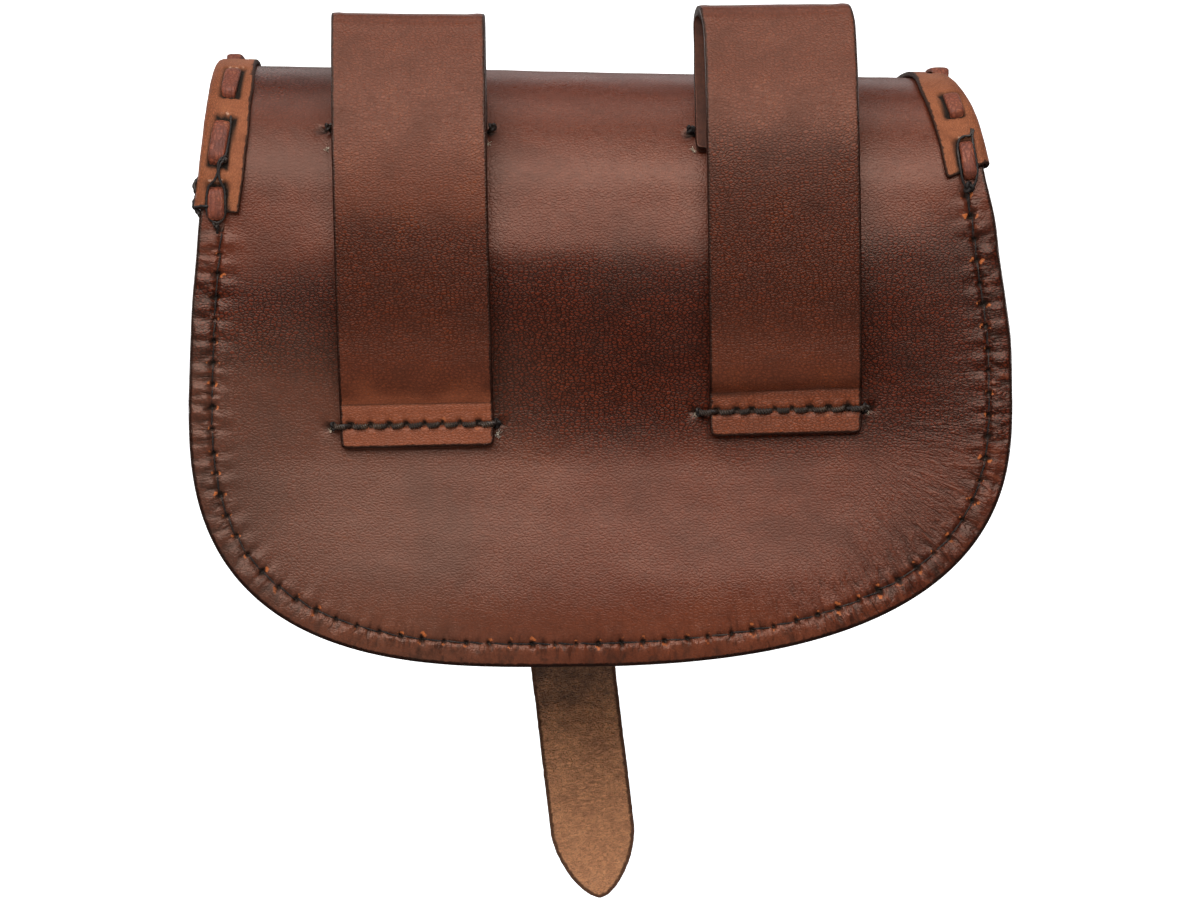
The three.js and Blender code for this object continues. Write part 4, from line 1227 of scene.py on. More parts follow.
def bent_section(corners, radius, steps=8):
    """A line through corners with its bends rounded."""
    corners = np.array(corners, float)
    points = [corners[0]]
    for before, corner, after in zip(corners, corners[1:], corners[2:]):
        a, b = corner + radius * unit(np.array([before, after]) - corner)
        for t in np.linspace(0, 1, steps):
            points.append((1 - t) ** 2 * a + 2 * t * (1 - t) * corner + t**2 * b)
    return Path([*points, corners[-1]], SECTION_STEP)


def rounded_box(length, width, corner, step, wobble, seed):
    """Outline of a strip with softly rounded corners and hand-cut edges."""
    line = resample([(0, 0), (length, 0), (length, width), (0, width)], step, closed=True)
    line = resample(soften(line, corner * 0.5, step), step, closed=True)
    return line + wobble * ripple(line, 7.0, seed)[:, None] * leftward(line)


GUSSET_WALL = 1.6
FLANGE = 6.2
GUSSET_INSET = 0.4
GUSSET_ROW = 4.8
FRONT_Y = 48.0
FRONT_WALL = 1.8
gusset_edge = Path(edge_of_back(-5.2, 2.0), EDGE_STEP)
gusset_back = BACK_Y + BODY_WALL + GAP + GUSSET_WALL
gusset_front = FRONT_Y - FRONT_WALL - GAP - GUSSET_WALL
gusset_deep = GUSSET_INSET + FLANGE
gusset_section = bent_section([
    (GUSSET_INSET, gusset_back), (gusset_deep, gusset_back),
    (gusset_deep, gusset_front), (GUSSET_INSET, gusset_front)], 1.6)
gusset_length, gusset_width = gusset_edge.lengths[-1], gusset_section.lengths[-1]


def on_gusset(flat, lift):
    """Places along and across the gusset strip, `lift` outwards from its grain side."""
    place, inward = gusset_edge.frame(flat[:, 0])
    section, facing = gusset_section.frame(flat[:, 1])
    raised = section + np.asarray(lift)[..., None] * facing
    spot = place + inward * raised[:, :1]
    return columns(spot[:, 0], raised[:, 1], FOLD_Z + spot[:, 1])


print("gusset strip, mm:", round(gusset_length), "by", round(gusset_width, 1))

# %% Gusset
def gusset_waves(flat):
    """The wall of the gusset buckles a little, most where it turns the lower corners."""
    across = np.clip(np.minimum(flat[:, 1], gusset_width - flat[:, 1]) / 12 - 0.6, 0, 1)
    return across * (0.8 * ripple(flat * (1.0, 0.35), 14.0, 6.0)
                     + 0.35 * ripple(flat * (1.0, 0.5), 5.0, 7.0) - 0.2)


gusset_rows = [Seam([(3, side), (gusset_length - 3, side)], SEAM_PITCH, seed)
               for side, seed in ((GUSSET_ROW, 40), (gusset_width - GUSSET_ROW, 41))]
cut_leather("gusset", rounded_box(gusset_length, gusset_width, 1.5, 0.8, 0.1, 8.0), on_gusset,
            GUSSET_WALL, (brown_leather, flesh_brown), seams=gusset_rows, relief=gusset_waves,
            fill=2.2, bevel=0.45)

# %% Front panel
MOUTH_Z = -47.0
MOUTH_DIP = 4.0
FRONT_SWELL = 2.2


def front_face(x, z):
    low = FOLD_Z + BACK_END["along"] - BACK_END["drop"]
    height = np.clip((z - low) / (MOUTH_Z - low), 0, 1)
    rounded = 1 - (2 * height - 1) ** 4
    reach = np.minimum(np.abs(x) / SWELL_REACH, 1)
    return FRONT_Y + FRONT_SWELL * (1 - reach**4) * np.maximum(rounded, 0.35 * height)


def on_front(flat, lift):
    x, along = np.asarray(flat, float).T
    z = FOLD_Z + along
    return columns(x, front_face(x, z) + lift, z)


def outline_of_front():
    mouth = MOUTH_Z - FOLD_Z
    edge = edge_of_back(mouth, mouth)
    across = np.linspace(edge[-1, 0], edge[0, 0], 200)[1:-1]
    spread = 2 * (across - across.min()) / np.ptp(across) - 1
    top = columns(across, mouth - MOUTH_DIP * (1 - spread**4))
    line = resample(np.vstack([edge, top]), FINE, closed=True)
    return resample(soften(line, 1.2, FINE), FINE, closed=True)


front_outline = outline_of_front()
front_seam = Seam(inset(edge_of_back(-11.5, -11.5), SEAM_INSET), SEAM_PITCH, seed=5)
from_front_edge = nearest(front_outline)


def waves_of_front(flat):
    out = ripples(flat, (0.22, 30.0, 11.0), (0.09, 8.0, 12.0))
    return out + 0.15 * border_bulge(from_front_edge(flat)[1]) * (1 + ripple(flat, 4.5, 13.0))


cut_leather("front_panel", front_outline, on_front, FRONT_WALL, (brown_leather, flesh_brown),
            seams=[front_seam], relief=waves_of_front, rings=(0.55, 1.2, 2.0), fill=2.0)

# %% [markdown]
# ## Belt loops
#
# Each loop is one strap of thick leather: sewn to the back low down, bowed out for the belt,
# folded tight at the top and sewn again under the fold. Its sewn outer end was pared thin
# before dyeing, so that short tab took the dye differently and is paler. The side lines are the
# middle line of the strap, and the pattern is bent along it.

# %% Bending a strap along its middle line
def bend_loop(loop):
    """The function that bends places (across, length from the outer end) into a loop."""
    def place(flat, lift):
        middle, facing, part = loop["line"].frame(flat[:, 1])
        raised = middle + facing * (LOOP_WALL / 2 + lift * np.ones(len(flat)))[:, None]
        down = (loop["top_z"] - raised[:, 2]) / (loop["top_z"] - loop["end_z"])
        inner = smooth_step((part - 0.5) / 0.25)
        raised[:, 0] = (loop["top"] + (loop["bottom"] - loop["top"]) * down + flat[:, 0]
                        + loop["twist"] * inner)
        tilt = loop["top_tilt"] + (loop["end_tilt"] - loop["top_tilt"]) * np.minimum(down, 1)
        raised[:, 2] += flat[:, 0] * tilt * (1 - inner)
        return raised

    return place


def cut_loop(name, loop, seed):
    half, length = loop["width"] / 2, loop["line"].length
    outline = rounded_box(loop["width"], length, 2.0, 0.65, 0.10, seed) - (half, 0)
    loop["rows"] = [
        Seam([(-half - beyond[0], v), (half + beyond[1], v)], LOOP_PITCH, row_seed, 0.25,
             hole=0.75, creased=0.45, tall=1.0, shift=0.3, groove=0.6)
        for v, row_seed, beyond in ((loop["tab_v"], seed, loop["beyond"]),
                                    (length - LOOP_INNER_ROW, seed + 10, (1.5, 1.5)))]
    crease_v, crease_tilt = loop["crease"]

    def below_crease(flat):
        """Distance from the crease toward the sewn end, along the strap."""
        uneven = 0.25 * ripple(flat, 9.0, seed + 6.0)
        return crease_v + crease_tilt * flat[:, 0] + uneven - flat[:, 1]

    def relief(flat):
        below = below_crease(flat)
        out = ripples(flat, (0.16, 22.0, seed + 1.0), (0.05, 5.0, seed + 2.0))
        out += loop["crest"] * bell(flat[:, 1] - 76, 17)
        out -= 0.2 * bell(below, 0.3) + 0.2 * smooth_step((below - 0.3) / 3.0)
        return out + 0.12 * bell(half - np.abs(flat[:, 0]) - 1.6, 1.0)

    def marks(flat):
        below = below_crease(flat)
        bare = smooth_step(below / 1.2 + 0.3 * ripple(flat, 3.0, seed + 3.0))
        paler = loop["tab"] * smooth_step((below + 8 + 4 * ripple(flat, 6.0, 77.0)) / 8)
        bare = np.maximum(bare, paler)
        # Darker dye and painted shade low on the loop, where it leans forward, fading towards the
        # tab.
        uneven = flat[:, 1] + 3.0 * ripple(flat, 24.0, seed + 4.0)
        soaked = smooth_step((loop["soaked"] - uneven) / 10)
        soaked *= 1 - 0.85 * smooth_step((36 - uneven) / 24) * (1 - bare)
        # Painted shade along the crease above the tab.
        return {"bare": bare, "dark": 0.6 * bell(below, 0.25),
                "soaked": soaked * (1 - loop["tab"] * bare)}

    across = np.arange(-half, half, 0.8)
    crease = np.vstack([columns(across, crease_v + off) for off in (-0.4, 0, 0.4)])
    cut_leather(name, outline, bend_loop(loop), LOOP_WALL, (loop_leather, flesh_brown),
                "loop_leather", seams=loop["rows"], relief=relief, marks=marks, extra=[crease],
                rings=(0.6, 1.3), fill=1.5, bevel=0.4, edge_reach=0.4)


cut_loop("belt_loop_left", LOOPS["left"], 20)
cut_loop("belt_loop_right", LOOPS["right"], 21)

# %% [markdown]
# ## Binding of the flap
#
# A strip of undyed tan leather is folded round the edge of the flap and laced on with a thong.
# Seen from behind only its two ends show, where they come over the top. The strip was cut with
# a knife by hand, so its inner edge wavers and is dark.

# %% Binding
BINDING_WALL = 1.2
BINDING_ENDS = (-3.8, 4.1)  # along the pattern, at the left and at the right
WRAP = GAP + BINDING_WALL
flap_edge = Path(np.vstack([
    up_the_side("left", BINDING_ENDS[0], FLAP_END["along"], 300),
    round_end(FLAP_END, np.linspace(math.pi, 0, ROUND_POINTS)[1:-1]),
    up_the_side("right", FLAP_END["along"], BINDING_ENDS[1], 300)]), EDGE_STEP)
binding_section = bent_section([
    (8.8, WRAP), (-WRAP, WRAP), (-WRAP, -BODY_WALL - WRAP), (7.4, -BODY_WALL - WRAP)], 2.0)
binding_length, binding_width = flap_edge.lengths[-1], binding_section.lengths[-1]


def on_pattern(flat, lift):
    """Places along the flap's edge and across the folded strip, `lift` above its face, as
    places of the flap's pattern and heights above it."""
    flat = np.asarray(flat, float)
    place, outward = flap_edge.frame(flat[:, 0])
    section, inward = binding_section.frame(flat[:, 1])
    raised = section - (lift * np.ones(len(flat)))[:, None] * inward
    return place - outward * raised[:, :1], raised[:, 1]


def on_binding(flat, lift):
    return on_leather(*on_pattern(flat, lift))


print("binding strip, mm:", round(binding_length), "by", round(binding_width, 1))

# %% Thongs of the lacing
# Those at the two ends: x, along, length, width and turn in degrees from straight up.
END_THONGS = [
    (-82.4, 47.5, 11.0, 3.5, 2), (-82.0, 27.0, 10.4, 3.5, 3), (-83.8, 10.6, 10.8, 3.7, 9),
    (-84.4, -2.6, 7.8, 3.7, -2),
    (76.2, 44.5, 9.6, 4.0, -8), (78.3, 22.3, 7.6, 3.4, -10), (80.9, 7.4, 8.8, 3.0, -6),
]
THONG_PITCH = 17.0
THONG_DEPTH = 4.2
THONGS_FROM, THONGS_TO = 62.0, 54.0  # along at the left, and length from the right end


def lay_thongs():
    """Places on the pattern, unit directions and sizes of every thong of the lacing."""
    rows = []
    for x, along, length, width, turn in END_THONGS:
        angle = math.radians(90 - turn)
        rows.append((x, along, math.cos(angle), math.sin(angle), length, width))
    left_side = slice(0, 250)
    start = np.interp(THONGS_FROM, flap_edge.line[left_side, 1], flap_edge.lengths[left_side])
    stop = binding_length - THONGS_TO
    rng = np.random.default_rng(8)
    for at in np.linspace(start, stop, int((stop - start) / THONG_PITCH) + 1):
        (x, along), outward = flap_edge.at(at, -THONG_DEPTH), flap_edge.frame(at)[1]
        turn = math.atan2(-outward[0], outward[1]) + rng.normal(0, 0.05)
        rows.append((x, along, math.cos(turn), math.sin(turn), 9.6 + rng.normal(0, 0.6),
                     4.5 + rng.normal(0, 0.15)))
    return np.array(rows)


thongs = lay_thongs()
print("thongs:", len(thongs))

# %% Binding with the slots that the thongs go through
def pressed_by_thongs(flat):
    """Relief, painted shadow at the ends and sides of the thongs, and painted highlight on the
    lips of their slots, that the thongs leave in the leather, on the pattern.
    """
    out, dark, worn = (np.zeros(len(flat)) for _ in range(3))
    for number, (x, along, forward_x, forward_along, length, width) in enumerate(thongs):
        near = np.abs(flat - (x, along)).max(1) < 12
        apart = flat[near] - (x, along)
        long = apart @ np.array([forward_x, forward_along])
        wide = apart @ np.array([-forward_along, forward_x])
        more = 0.45 if number < len(END_THONGS) else 0.0
        past_side = np.abs(wide - more * math.copysign(1.0, x)) - width / 2
        past_end = np.abs(long) - length / 2
        beside = 1 - smooth_step(past_side / 0.9)
        ends = bell(past_end + 0.3, 0.7) * beside
        under = (1 - smooth_step((past_end - 0.3 * more) / 0.8)) * (
            1 - smooth_step((past_side + 0.2 - more) / 0.8))
        out[near] += 0.12 * bell(past_end - 1.3, 0.8) * beside - 0.7 * ends - 0.25 * under
        # Painted shadow at the ends of the thongs and under their sides.
        dark[near] = np.maximum(dark[near], 0.9 * np.maximum(ends, (0.8 + more) * under))
        # Painted highlight on the lips of the slots, carried in the worn mask.
        lip_highlight = bell(long - length / 2 - 1.0, 0.4) * (past_side < 0)
        worn[near] = np.maximum(worn[near], 1.2 * more * lip_highlight)
    return out, dark, worn


def pressed_binding(flat):
    """The same for places of the strip, of which only the outer leg carries thongs."""
    spots, height = on_pattern(flat, 0.0)
    return [values * (height > 0) for values in pressed_by_thongs(spots)]


def binding_relief(flat):
    return ripples(flat, (0.13, 9.0, 51.0), (0.05, 3.0, 52.0)) + pressed_binding(flat)[0]


def binding_marks(flat):
    # Here the dark mask is painted shadow round the thongs, and the worn mask a painted highlight
    # on the slot lips.
    _, dark, worn = pressed_binding(flat)
    # Darker from near the flap's edge round to the inner leg, and in random patches.
    toward_edge = smooth_step((flat[:, 1] + 2 * ripple(flat, 8.0, 53.0) - 5.5) / 4)
    return {"dark": dark, "worn": worn,
            "soaked": np.clip(0.4 * toward_edge + 0.25 * ripple(flat, 14.0, 54.0), 0, 1)}


def binding_outline():
    """The strip, cut a little narrower where it runs over the top."""
    line = rounded_box(binding_length, binding_width, 1.2, 0.7, 0.22, 50.0)
    at, across = line.T
    trim = 1.2 * bell(at - 46, 14) + 2.4 * bell(at - binding_length + 40, 12)
    slant = 0.26 * np.clip(across, 0, 9) * (at > binding_length - 3)
    return columns(at - slant, across + trim * (across < 3))


cut_leather("flap_binding", binding_outline(), on_binding, BINDING_WALL,
            (tan_leather, tan_leather), "tan_leather", relief=binding_relief,
            marks=binding_marks, rings=(0.5,), fill=0.95, bevel=0.35, back_fill=2.5,
            edge_reach=0.5)

# %% [markdown]
# ## Closing strap, tab and buckle
#
# The closing strap is sewn on the flap, runs down through the buckle and hangs below the
# pouch. From behind only its hanging tail shows, from the rough flesh side. Its middle line
# follows what it lies on: the flap, the binding, the pocket, the buckle's lower bar.

# %% The strap's own frame
STRAP_WALL = 2.2
STRAP_WIDTH = 19.6
STRAP_POINT = (0.2, -199.6)
STRAP_TILT = math.radians(6.85)
STRAP_LENGTH = 130.0
POINT_LENGTH = 17.0
HANG_Y = 58.2
HEEL_RISE, HEEL_Y = 77.5, 53.7
TOP_BAR_RISE, TOP_BAR_Y = 94.0, 55.0
STRAP_ROUTE = [
    (0, "hanging", -0.8), (25, "hanging", -0.4), (50, "hanging", 0), (68, "hanging", 0.5),
    (77.5, "heel", 4.8), (81.7, "heel", 4.6), (86.8, "heel", 1.8), (91, "pocket", 1.8),
    (94.5, "pocket", 1.9), (102.4, "binding", 1.7), (107, "binding", 1.7),
    (115.6, "binding", 1.6), (120.5, "flap", 1.5), (124, "flap", 1.5), (130, "flap", 1.5),
]


def on_strap(across, rise, y):
    """A place in the tilted frame of the strap: across it, and `rise` up from its point."""
    cos, sin = math.cos(STRAP_TILT), math.sin(STRAP_TILT)
    x = STRAP_POINT[0] + across * cos - rise * sin
    z = STRAP_POINT[1] + across * sin + rise * cos
    return columns(x, y, z).astype(float)


def pocket_y(rise):
    x, _, z = on_strap(0.0, rise, 0.0)
    return float(front_face(x, z))


def flap_y(rise):
    x, _, z = on_strap(0.0, rise, 0.0)
    along = FOLD_ALONG + (FOLD_Z - z) / math.cos(FLAP_LEAN)
    return on_leather([(x, along)], 0)[0][1]


def bend_strip(line, wall):
    """Bends (across, length) along a line in the strap's frame; lift is outwards, on the side
    that faces back where the line runs upwards."""
    def place(flat, lift):
        middle, facing, _ = line.frame(flat[:, 1])
        rise = (middle[:, 2] - STRAP_POINT[1]) / math.cos(STRAP_TILT)
        raised = facing * (wall / 2 + lift * np.ones(len(flat)))[:, None]
        return on_strap(flat[:, 0], rise, middle[:, 1]) + raised

    return place


STRAP_LIES_ON = {"hanging": lambda rise: HANG_Y, "heel": lambda rise: HEEL_Y,
                 "pocket": pocket_y, "flap": flap_y,
                 "binding": lambda rise: flap_y(rise) + WRAP}
closing_line = CentreLine([on_strap(0.0, rise, STRAP_LIES_ON[on](rise) + out)
                           for rise, on, out in STRAP_ROUTE])
closing_rise = (closing_line.places[:, 2] - STRAP_POINT[1]) / math.cos(STRAP_TILT)
print("closing strap, mm:", round(closing_line.length, 1))

# %% Closing strap
STRAP_STEP = 0.6
HOLE_RADIUS = 1.6
STRAP_HOLES = [(72, 0), (59, 0), (86.2, 7.2)]  # rise of each, and length if it is a slot


def length_at_rise(rise):
    return np.interp(rise, closing_rise, closing_line.lengths)


def strap_outline():
    half = STRAP_WIDTH / 2
    rise = np.concatenate([np.linspace(0, 1, 80) ** 2 * POINT_LENGTH,
                           np.linspace(POINT_LENGTH, STRAP_LENGTH - half, 60)[1:],
                           STRAP_LENGTH - half * (1 - np.linspace(0, 1, 60)[1:] ** 0.5)])
    low = np.clip(rise / POINT_LENGTH, 0, 1)
    pointed = (1 - (1 - low) ** 1.8) ** (1 / 1.5)
    top = np.clip((STRAP_LENGTH - rise) / half, 0, 1)
    width = half * np.minimum(pointed, np.sqrt(1 - (1 - top) ** 2))
    right = columns(width, length_at_rise(rise))
    line = resample(np.vstack([right, right[::-1][1:-1] * (-1, 1)]), STRAP_STEP, closed=True)
    line = resample(soften(line, 0.7, STRAP_STEP), STRAP_STEP, closed=True)
    ragged = ripples(line, (0.12, 6.0, 61.0), (0.1, 1.4, 60.0))
    return line + ragged[:, None] * leftward(line)


def hole_at(length, radius, half_slot):
    """A hole as a closed line that runs clockwise, so that its left side is leather."""
    turn = -full_turn(24)
    apart = half_slot * np.sign(np.round(np.sin(turn), 6))
    return columns(radius * np.cos(turn), length + apart + radius * np.sin(turn))


def strap_relief(flat):
    return ripples(flat, (0.14, 16.0, 62.0), (0.09, 3.2, 63.0), (0.05, 1.3, 64.0))


def strap_marks(flat):
    """Stain that crept down the tail from where it lies against the pouch, with the painted shadow
    of the pouch over it, and cracks where the tail bends most."""
    at = flat[:, 1] + ripples(flat, (5, 11.0, 65.0), (5, 3.5, 66.0))
    # Stain and the pouch's painted shadow, darker towards the top of the tail.
    return {"stain": smooth_step((at - 33) / 26),
            "cracked": 0.1 + 0.22 * smooth_step((at - 16) / 12)}


strap_rows = [Seam([(-6.8, closing_line.length - down), (6.8, closing_line.length - down)], 3.4,
                   seed) for down, seed in ((12.5, 71), (3.6, 72))]
cut_leather(
    "closing_strap", strap_outline(), bend_strip(closing_line, STRAP_WALL), STRAP_WALL,
    (strap_flesh, brown_leather), "strap_leather", seams=strap_rows, relief=strap_relief,
    holes=[hole_at(length_at_rise(rise), HOLE_RADIUS, max(length / 2 - HOLE_RADIUS, 0))
           for rise, length in STRAP_HOLES],
    marks=strap_marks, rings=(0.5, 1.0), fill=1.0, bevel=0.55, back_fill=1.6)

# %% Buckle tab
TAB_WALL = 1.6
TAB_WIDTH = 15.6
TAB_END_RISE = 63.5
TAB_SLOT = 5.6
TAB_CLOSING = [(73.8, 4.3), (70.5, 2.9), (67, 2.0), (64.5, 1.9)]
BAR = 1.5


def tab_line():
    wall = TAB_WALL / 2
    bend = BAR + GAP + wall
    points = [on_strap(0.0, rise, pocket_y(rise) + GAP + wall)
              for rise in np.linspace(TAB_END_RISE, HEEL_RISE - 2 * bend, 4)]
    points += [on_strap(0.0, HEEL_RISE + bend * math.sin(turn), HEEL_Y - bend * math.cos(turn))
               for turn in np.linspace(0, math.pi, 7)]
    points += [on_strap(0.0, rise, pocket_y(rise) + GAP + wall + apart)
               for rise, apart in TAB_CLOSING]
    return CentreLine(points)


tab_middle = tab_line()
tab_top = tab_middle.lengths[int(np.argmax(tab_middle.places[:, 2]))]
tab_rows = [Seam([(-6.2, at), (6.2, at)], 3.1, seed)
            for at, seed in ((3.2, 81), (tab_middle.length - 2.6, 82))]
cut_leather(
    "buckle_tab",
    rounded_box(TAB_WIDTH, tab_middle.length, 2.0, 0.5, 0.06, 80.0) - (TAB_WIDTH / 2, 0),
    bend_strip(tab_middle, TAB_WALL), TAB_WALL, (brown_leather, flesh_brown),
    holes=[hole_at(tab_top, TAB_SLOT / 2, 2.6)], seams=tab_rows,
    relief=lambda flat: 0.08 * ripple(flat, 6.0, 83.0), fill=1.1, bevel=0.4, back_fill=1.6)

# %% [markdown]
# ## What repeats: Geometry Nodes
#
# Stitches, lacing thongs and tufts of broken fibre are each one small shape laid many times.
# A Geometry Nodes tree makes the shape once and puts a copy on every point, turned so that it
# faces out of the leather and runs along its seam. The points carry those two directions and
# a size. Afterwards the copies are made real, and the result becomes a plain mesh.

# %% Points that carry directions and sizes
def surface_frame(place, flat, toward, lift=0.0):
    """Places above a bent pattern, the way the leather faces there, and a direction in it."""
    flat = np.asarray(flat, float)
    here = place(flat, lift)
    return (here, unit(place(flat, lift + 0.4) - place(flat, lift - 0.4)),
            unit(place(np.asarray(toward, float), lift) - here))


def point_object(name, places_mm, facing, forward, sizes):
    """A mesh of loose points with the directions and the sizes that the trees read."""
    mesh = bpy.data.meshes.new(name)
    mesh.from_pydata((np.asarray(places_mm) * MM).tolist(), [], [])
    give_values(mesh, "FLOAT_VECTOR", facing=facing, forward=forward, sizes=sizes)
    return add_object(name, mesh)


def grow(made, tree, **values):
    """Runs a node tree on an object with named inputs, and keeps the plain mesh it makes."""
    modifier = made.modifiers.new("grow", "NODES")
    modifier.node_group = tree
    sockets = {item.name: item.identifier for item in tree.interface.items_tree
               if item.item_type == "SOCKET" and item.in_out == "INPUT"}
    for key, value in values.items():
        modifier[sockets[key.replace("_", " ")]] = value
    graph = bpy.context.evaluated_depsgraph_get()
    mesh = bpy.data.meshes.new_from_object(made.evaluated_get(graph))
    made.modifiers.remove(modifier)
    made.data = mesh


def xyz(tree, x=0.0, y=0.0, z=0.0):
    return node(tree, "ShaderNodeCombineXYZ", {0: x, 1: y, 2: z})


def tube(path, radius, sides, caps=True):
    ring = node(path.tree, "GeometryNodeCurvePrimitiveCircle", {
        "Resolution": sides, "Radius": radius})
    return node(path.tree, "GeometryNodeCurveToMesh", {
        "Curve": path, "Profile Curve": ring, "Fill Caps": caps})


def new_tree(name, **inputs):
    """A geometry tree, whose first and last inputs are its points and its material."""
    return new_group(name, "GeometryNodeTree", Geometry=GEOMETRY, **inputs, Material=MATERIAL)


def end_tree(tree, given, geometry):
    """Makes copies real, smooths the mesh and gives it its material."""
    real = node(tree, "GeometryNodeRealizeInstances", {"Geometry": geometry})
    smooth = node(tree, "GeometryNodeSetShadeSmooth", {"Geometry": real})
    return end_group(tree, Geometry=node(tree, "GeometryNodeSetMaterial", {
        "Geometry": smooth, "Material": given["Material"]}))


def end_with_copies(tree, given, points, shape, slant):
    """Puts a shape on every point, turned by its directions and scaled by its sizes."""
    facing, forward, sizes = (
        node(tree, "GeometryNodeInputNamedAttribute", {"Name": name}, "Attribute",
             data_type="FLOAT_VECTOR") for name in ("facing", "forward", "sizes"))
    turned = node(tree, "FunctionNodeAxesToRotation", {
        "Primary Axis": facing, "Secondary Axis": forward},
        primary_axis="Z", secondary_axis="X")
    placed = node(tree, "GeometryNodeInstanceOnPoints", {
        "Points": points, "Instance": shape, "Rotation": turned, "Scale": sizes})
    chance = node(tree, "FunctionNodeRandomValue", {
        0: -1.0 * slant, 1: slant, "Seed": given["Seed"]}, data_type="FLOAT_VECTOR")
    return end_tree(tree, given, node(tree, "GeometryNodeRotateInstances", {
        "Instances": placed, "Rotation": chance}))


print("point helpers ready")

# %% Tree: stitches
def build_stitch_tree():
    """A stitch of two twisted strands, one unit long, that dives at both ends."""
    tree, given = new_tree("Stitches", Strand_radius=0.0002, Rise=0.0003, Sag=0.0, Twists=2.5,
                           Slant=(0.0, 0.0, 0.1), Seed=1)
    line = node(tree, "GeometryNodeCurvePrimitiveLine", {
        "Start": (-0.5, 0, 0), "End": (0.5, 0, 0)})
    line = node(tree, "GeometryNodeResampleCurve", {"Curve": line, "Count": 13})
    part = node(tree, "GeometryNodeSplineParameter", out="Factor")
    centred = part * 2.0 - 1.0
    height = given["Rise"] * (1.0 - 3.0 * abs(centred) ** 4.0)
    hang = given["Sag"] * (centred * centred - 1.0)
    apart = 0.85 * given["Strand radius"]
    strands = []
    for phase in (0.0, math.pi):
        turn = part * given["Twists"] * (2 * math.pi) + phase
        moved = node(tree, "GeometryNodeSetPosition", {"Geometry": line, "Offset": xyz(
            tree, 0.0, calc("COSINE", turn) * apart + hang, calc("SINE", turn) * apart + height)})
        strands.append(tube(moved, given["Strand radius"], 6))
    shape = node(tree, "GeometryNodeJoinGeometry", {0: strands})
    return end_with_copies(tree, given, given["Geometry"], shape, given["Slant"])


stitch_tree = build_stitch_tree()

# %% Sewing the seams
def sew(name, rows, finish, slot, strand=0.22, rise=0.25, slant=0.07, seed=1, skew=0.0,
        short=0.15, sag=0.0):
    """Stitches in one mesh. rows holds (seam, the function that bends its piece, lift). Each
    stitch runs from one side of the line to the other by `skew`, ends `short` of it, and
    hangs `sag` to its right."""
    stitches = []
    for seam, place, lift in rows:
        start, stop = seam.at(seam.holes[:-1], skew), seam.at(seam.holes[1:], -skew)
        long = np.linalg.norm(place(stop, lift) - place(start, lift), axis=1)
        sizes = columns((long - short) * MM, 1.0, 1.0)
        stitches.append((*surface_frame(place, (start + stop) / 2, stop, lift), sizes))
    made = point_object(name, *map(np.vstack, zip(*stitches)))
    grow(made, stitch_tree, Strand_radius=strand * MM, Rise=rise * MM, Sag=sag * MM, Twists=3.0,
         Slant=(0.0, 0.03, slant), Seed=seed, Material=finish)
    finish_piece(made, slot)


outer, inner = ([(loop["rows"][row], bend_loop(loop), 0.0) for loop in LOOPS.values()]
                for row in (0, 1))
sew("back_seam_thread", [(back_seam, on_leather, -0.34)], black_thread, "brown_leather",
    strand=0.11, rise=0.3, skew=0.22, seed=2)
sew("front_seam_thread", [(front_seam, on_front, -0.1)], black_thread, "brown_leather", seed=3)
sew("gusset_seam_thread", [(row, on_gusset, -0.1) for row in gusset_rows], black_thread,
    "brown_leather", strand=0.2, seed=4)
sew("strap_thread", [(row, bend_strip(closing_line, -STRAP_WALL), 0.15) for row in strap_rows],
    brown_thread, "strap_leather", strand=0.25, seed=5)
sew("tab_thread", [(tab_rows[1], bend_strip(tab_middle, TAB_WALL), -0.05)], brown_thread,
    "brown_leather", seed=6)
sew("loop_thread_outer", outer, brown_thread, "loop_leather", strand=0.41, rise=0.45, slant=0.1,
    seed=7, skew=-0.1, short=0.95, sag=0.12)
sew("loop_thread_inner", inner, brown_thread, "loop_leather", strand=0.3, rise=0.38, slant=0.12,
    seed=8, short=0.7)

# %% [markdown]
# ## Lacing
#
# A thong is a flat lace. Between two slots it arches over the strip and dives at both ends, so
# one unit thong is a block with rounded sides, bent into an arch, and every copy is scaled to
# its own length and width.

# %% Tree: thongs
def build_thong_tree():
    tree, given = new_tree("Thongs", Thickness=0.0011, Rise=0.0010, Sink=0.0016,
                           Slant=(0.0, 0.0, 0.03), Seed=1)
    block = node(tree, "GeometryNodeMeshCube", {
        "Size": (1, 1, 1), "Vertices X": 25, "Vertices Y": 17, "Vertices Z": 5})
    place = node(tree, "GeometryNodeInputPosition")
    x, y, z = (node(tree, "ShaderNodeSeparateXYZ", {0: place}, axis) for axis in range(3))
    along, across = abs(2.0 * x), abs(2.0 * y)
    arch = given["Rise"] * (1.0 - along ** 3.0) - given["Sink"] * along ** 9.0
    body = z * given["Thickness"] * (1.0 - 0.45 * across ** 9.0) - 0.0002 * across ** 2.5
    shape = node(tree, "GeometryNodeSetPosition", {"Geometry": block, "Position": xyz(
        tree, x, y * (1.0 - 0.3 * along ** 7.0), arch + body)})
    return end_with_copies(tree, given, given["Geometry"], shape, given["Slant"])


thong_tree = build_thong_tree()

# %% Lacing
toward = thongs[:, :2] + thongs[:, 2:4] * 0.5
lifts = np.where(thongs[:, 1] < 0, 0.95, WRAP)
sizes = columns(thongs[:, 4] * MM, thongs[:, 5] * MM, 1.0)
lacing = point_object(
    "flap_lacing", *surface_frame(on_leather, thongs[:, :2], toward, lifts), sizes)
grow(lacing, thong_tree, Thickness=1.1 * MM, Rise=0.5 * MM, Sink=1.6 * MM,
     Slant=(0.02, 0.02, 0.03), Seed=4, Material=thong_leather)
finish_piece(lacing, "tan_leather")

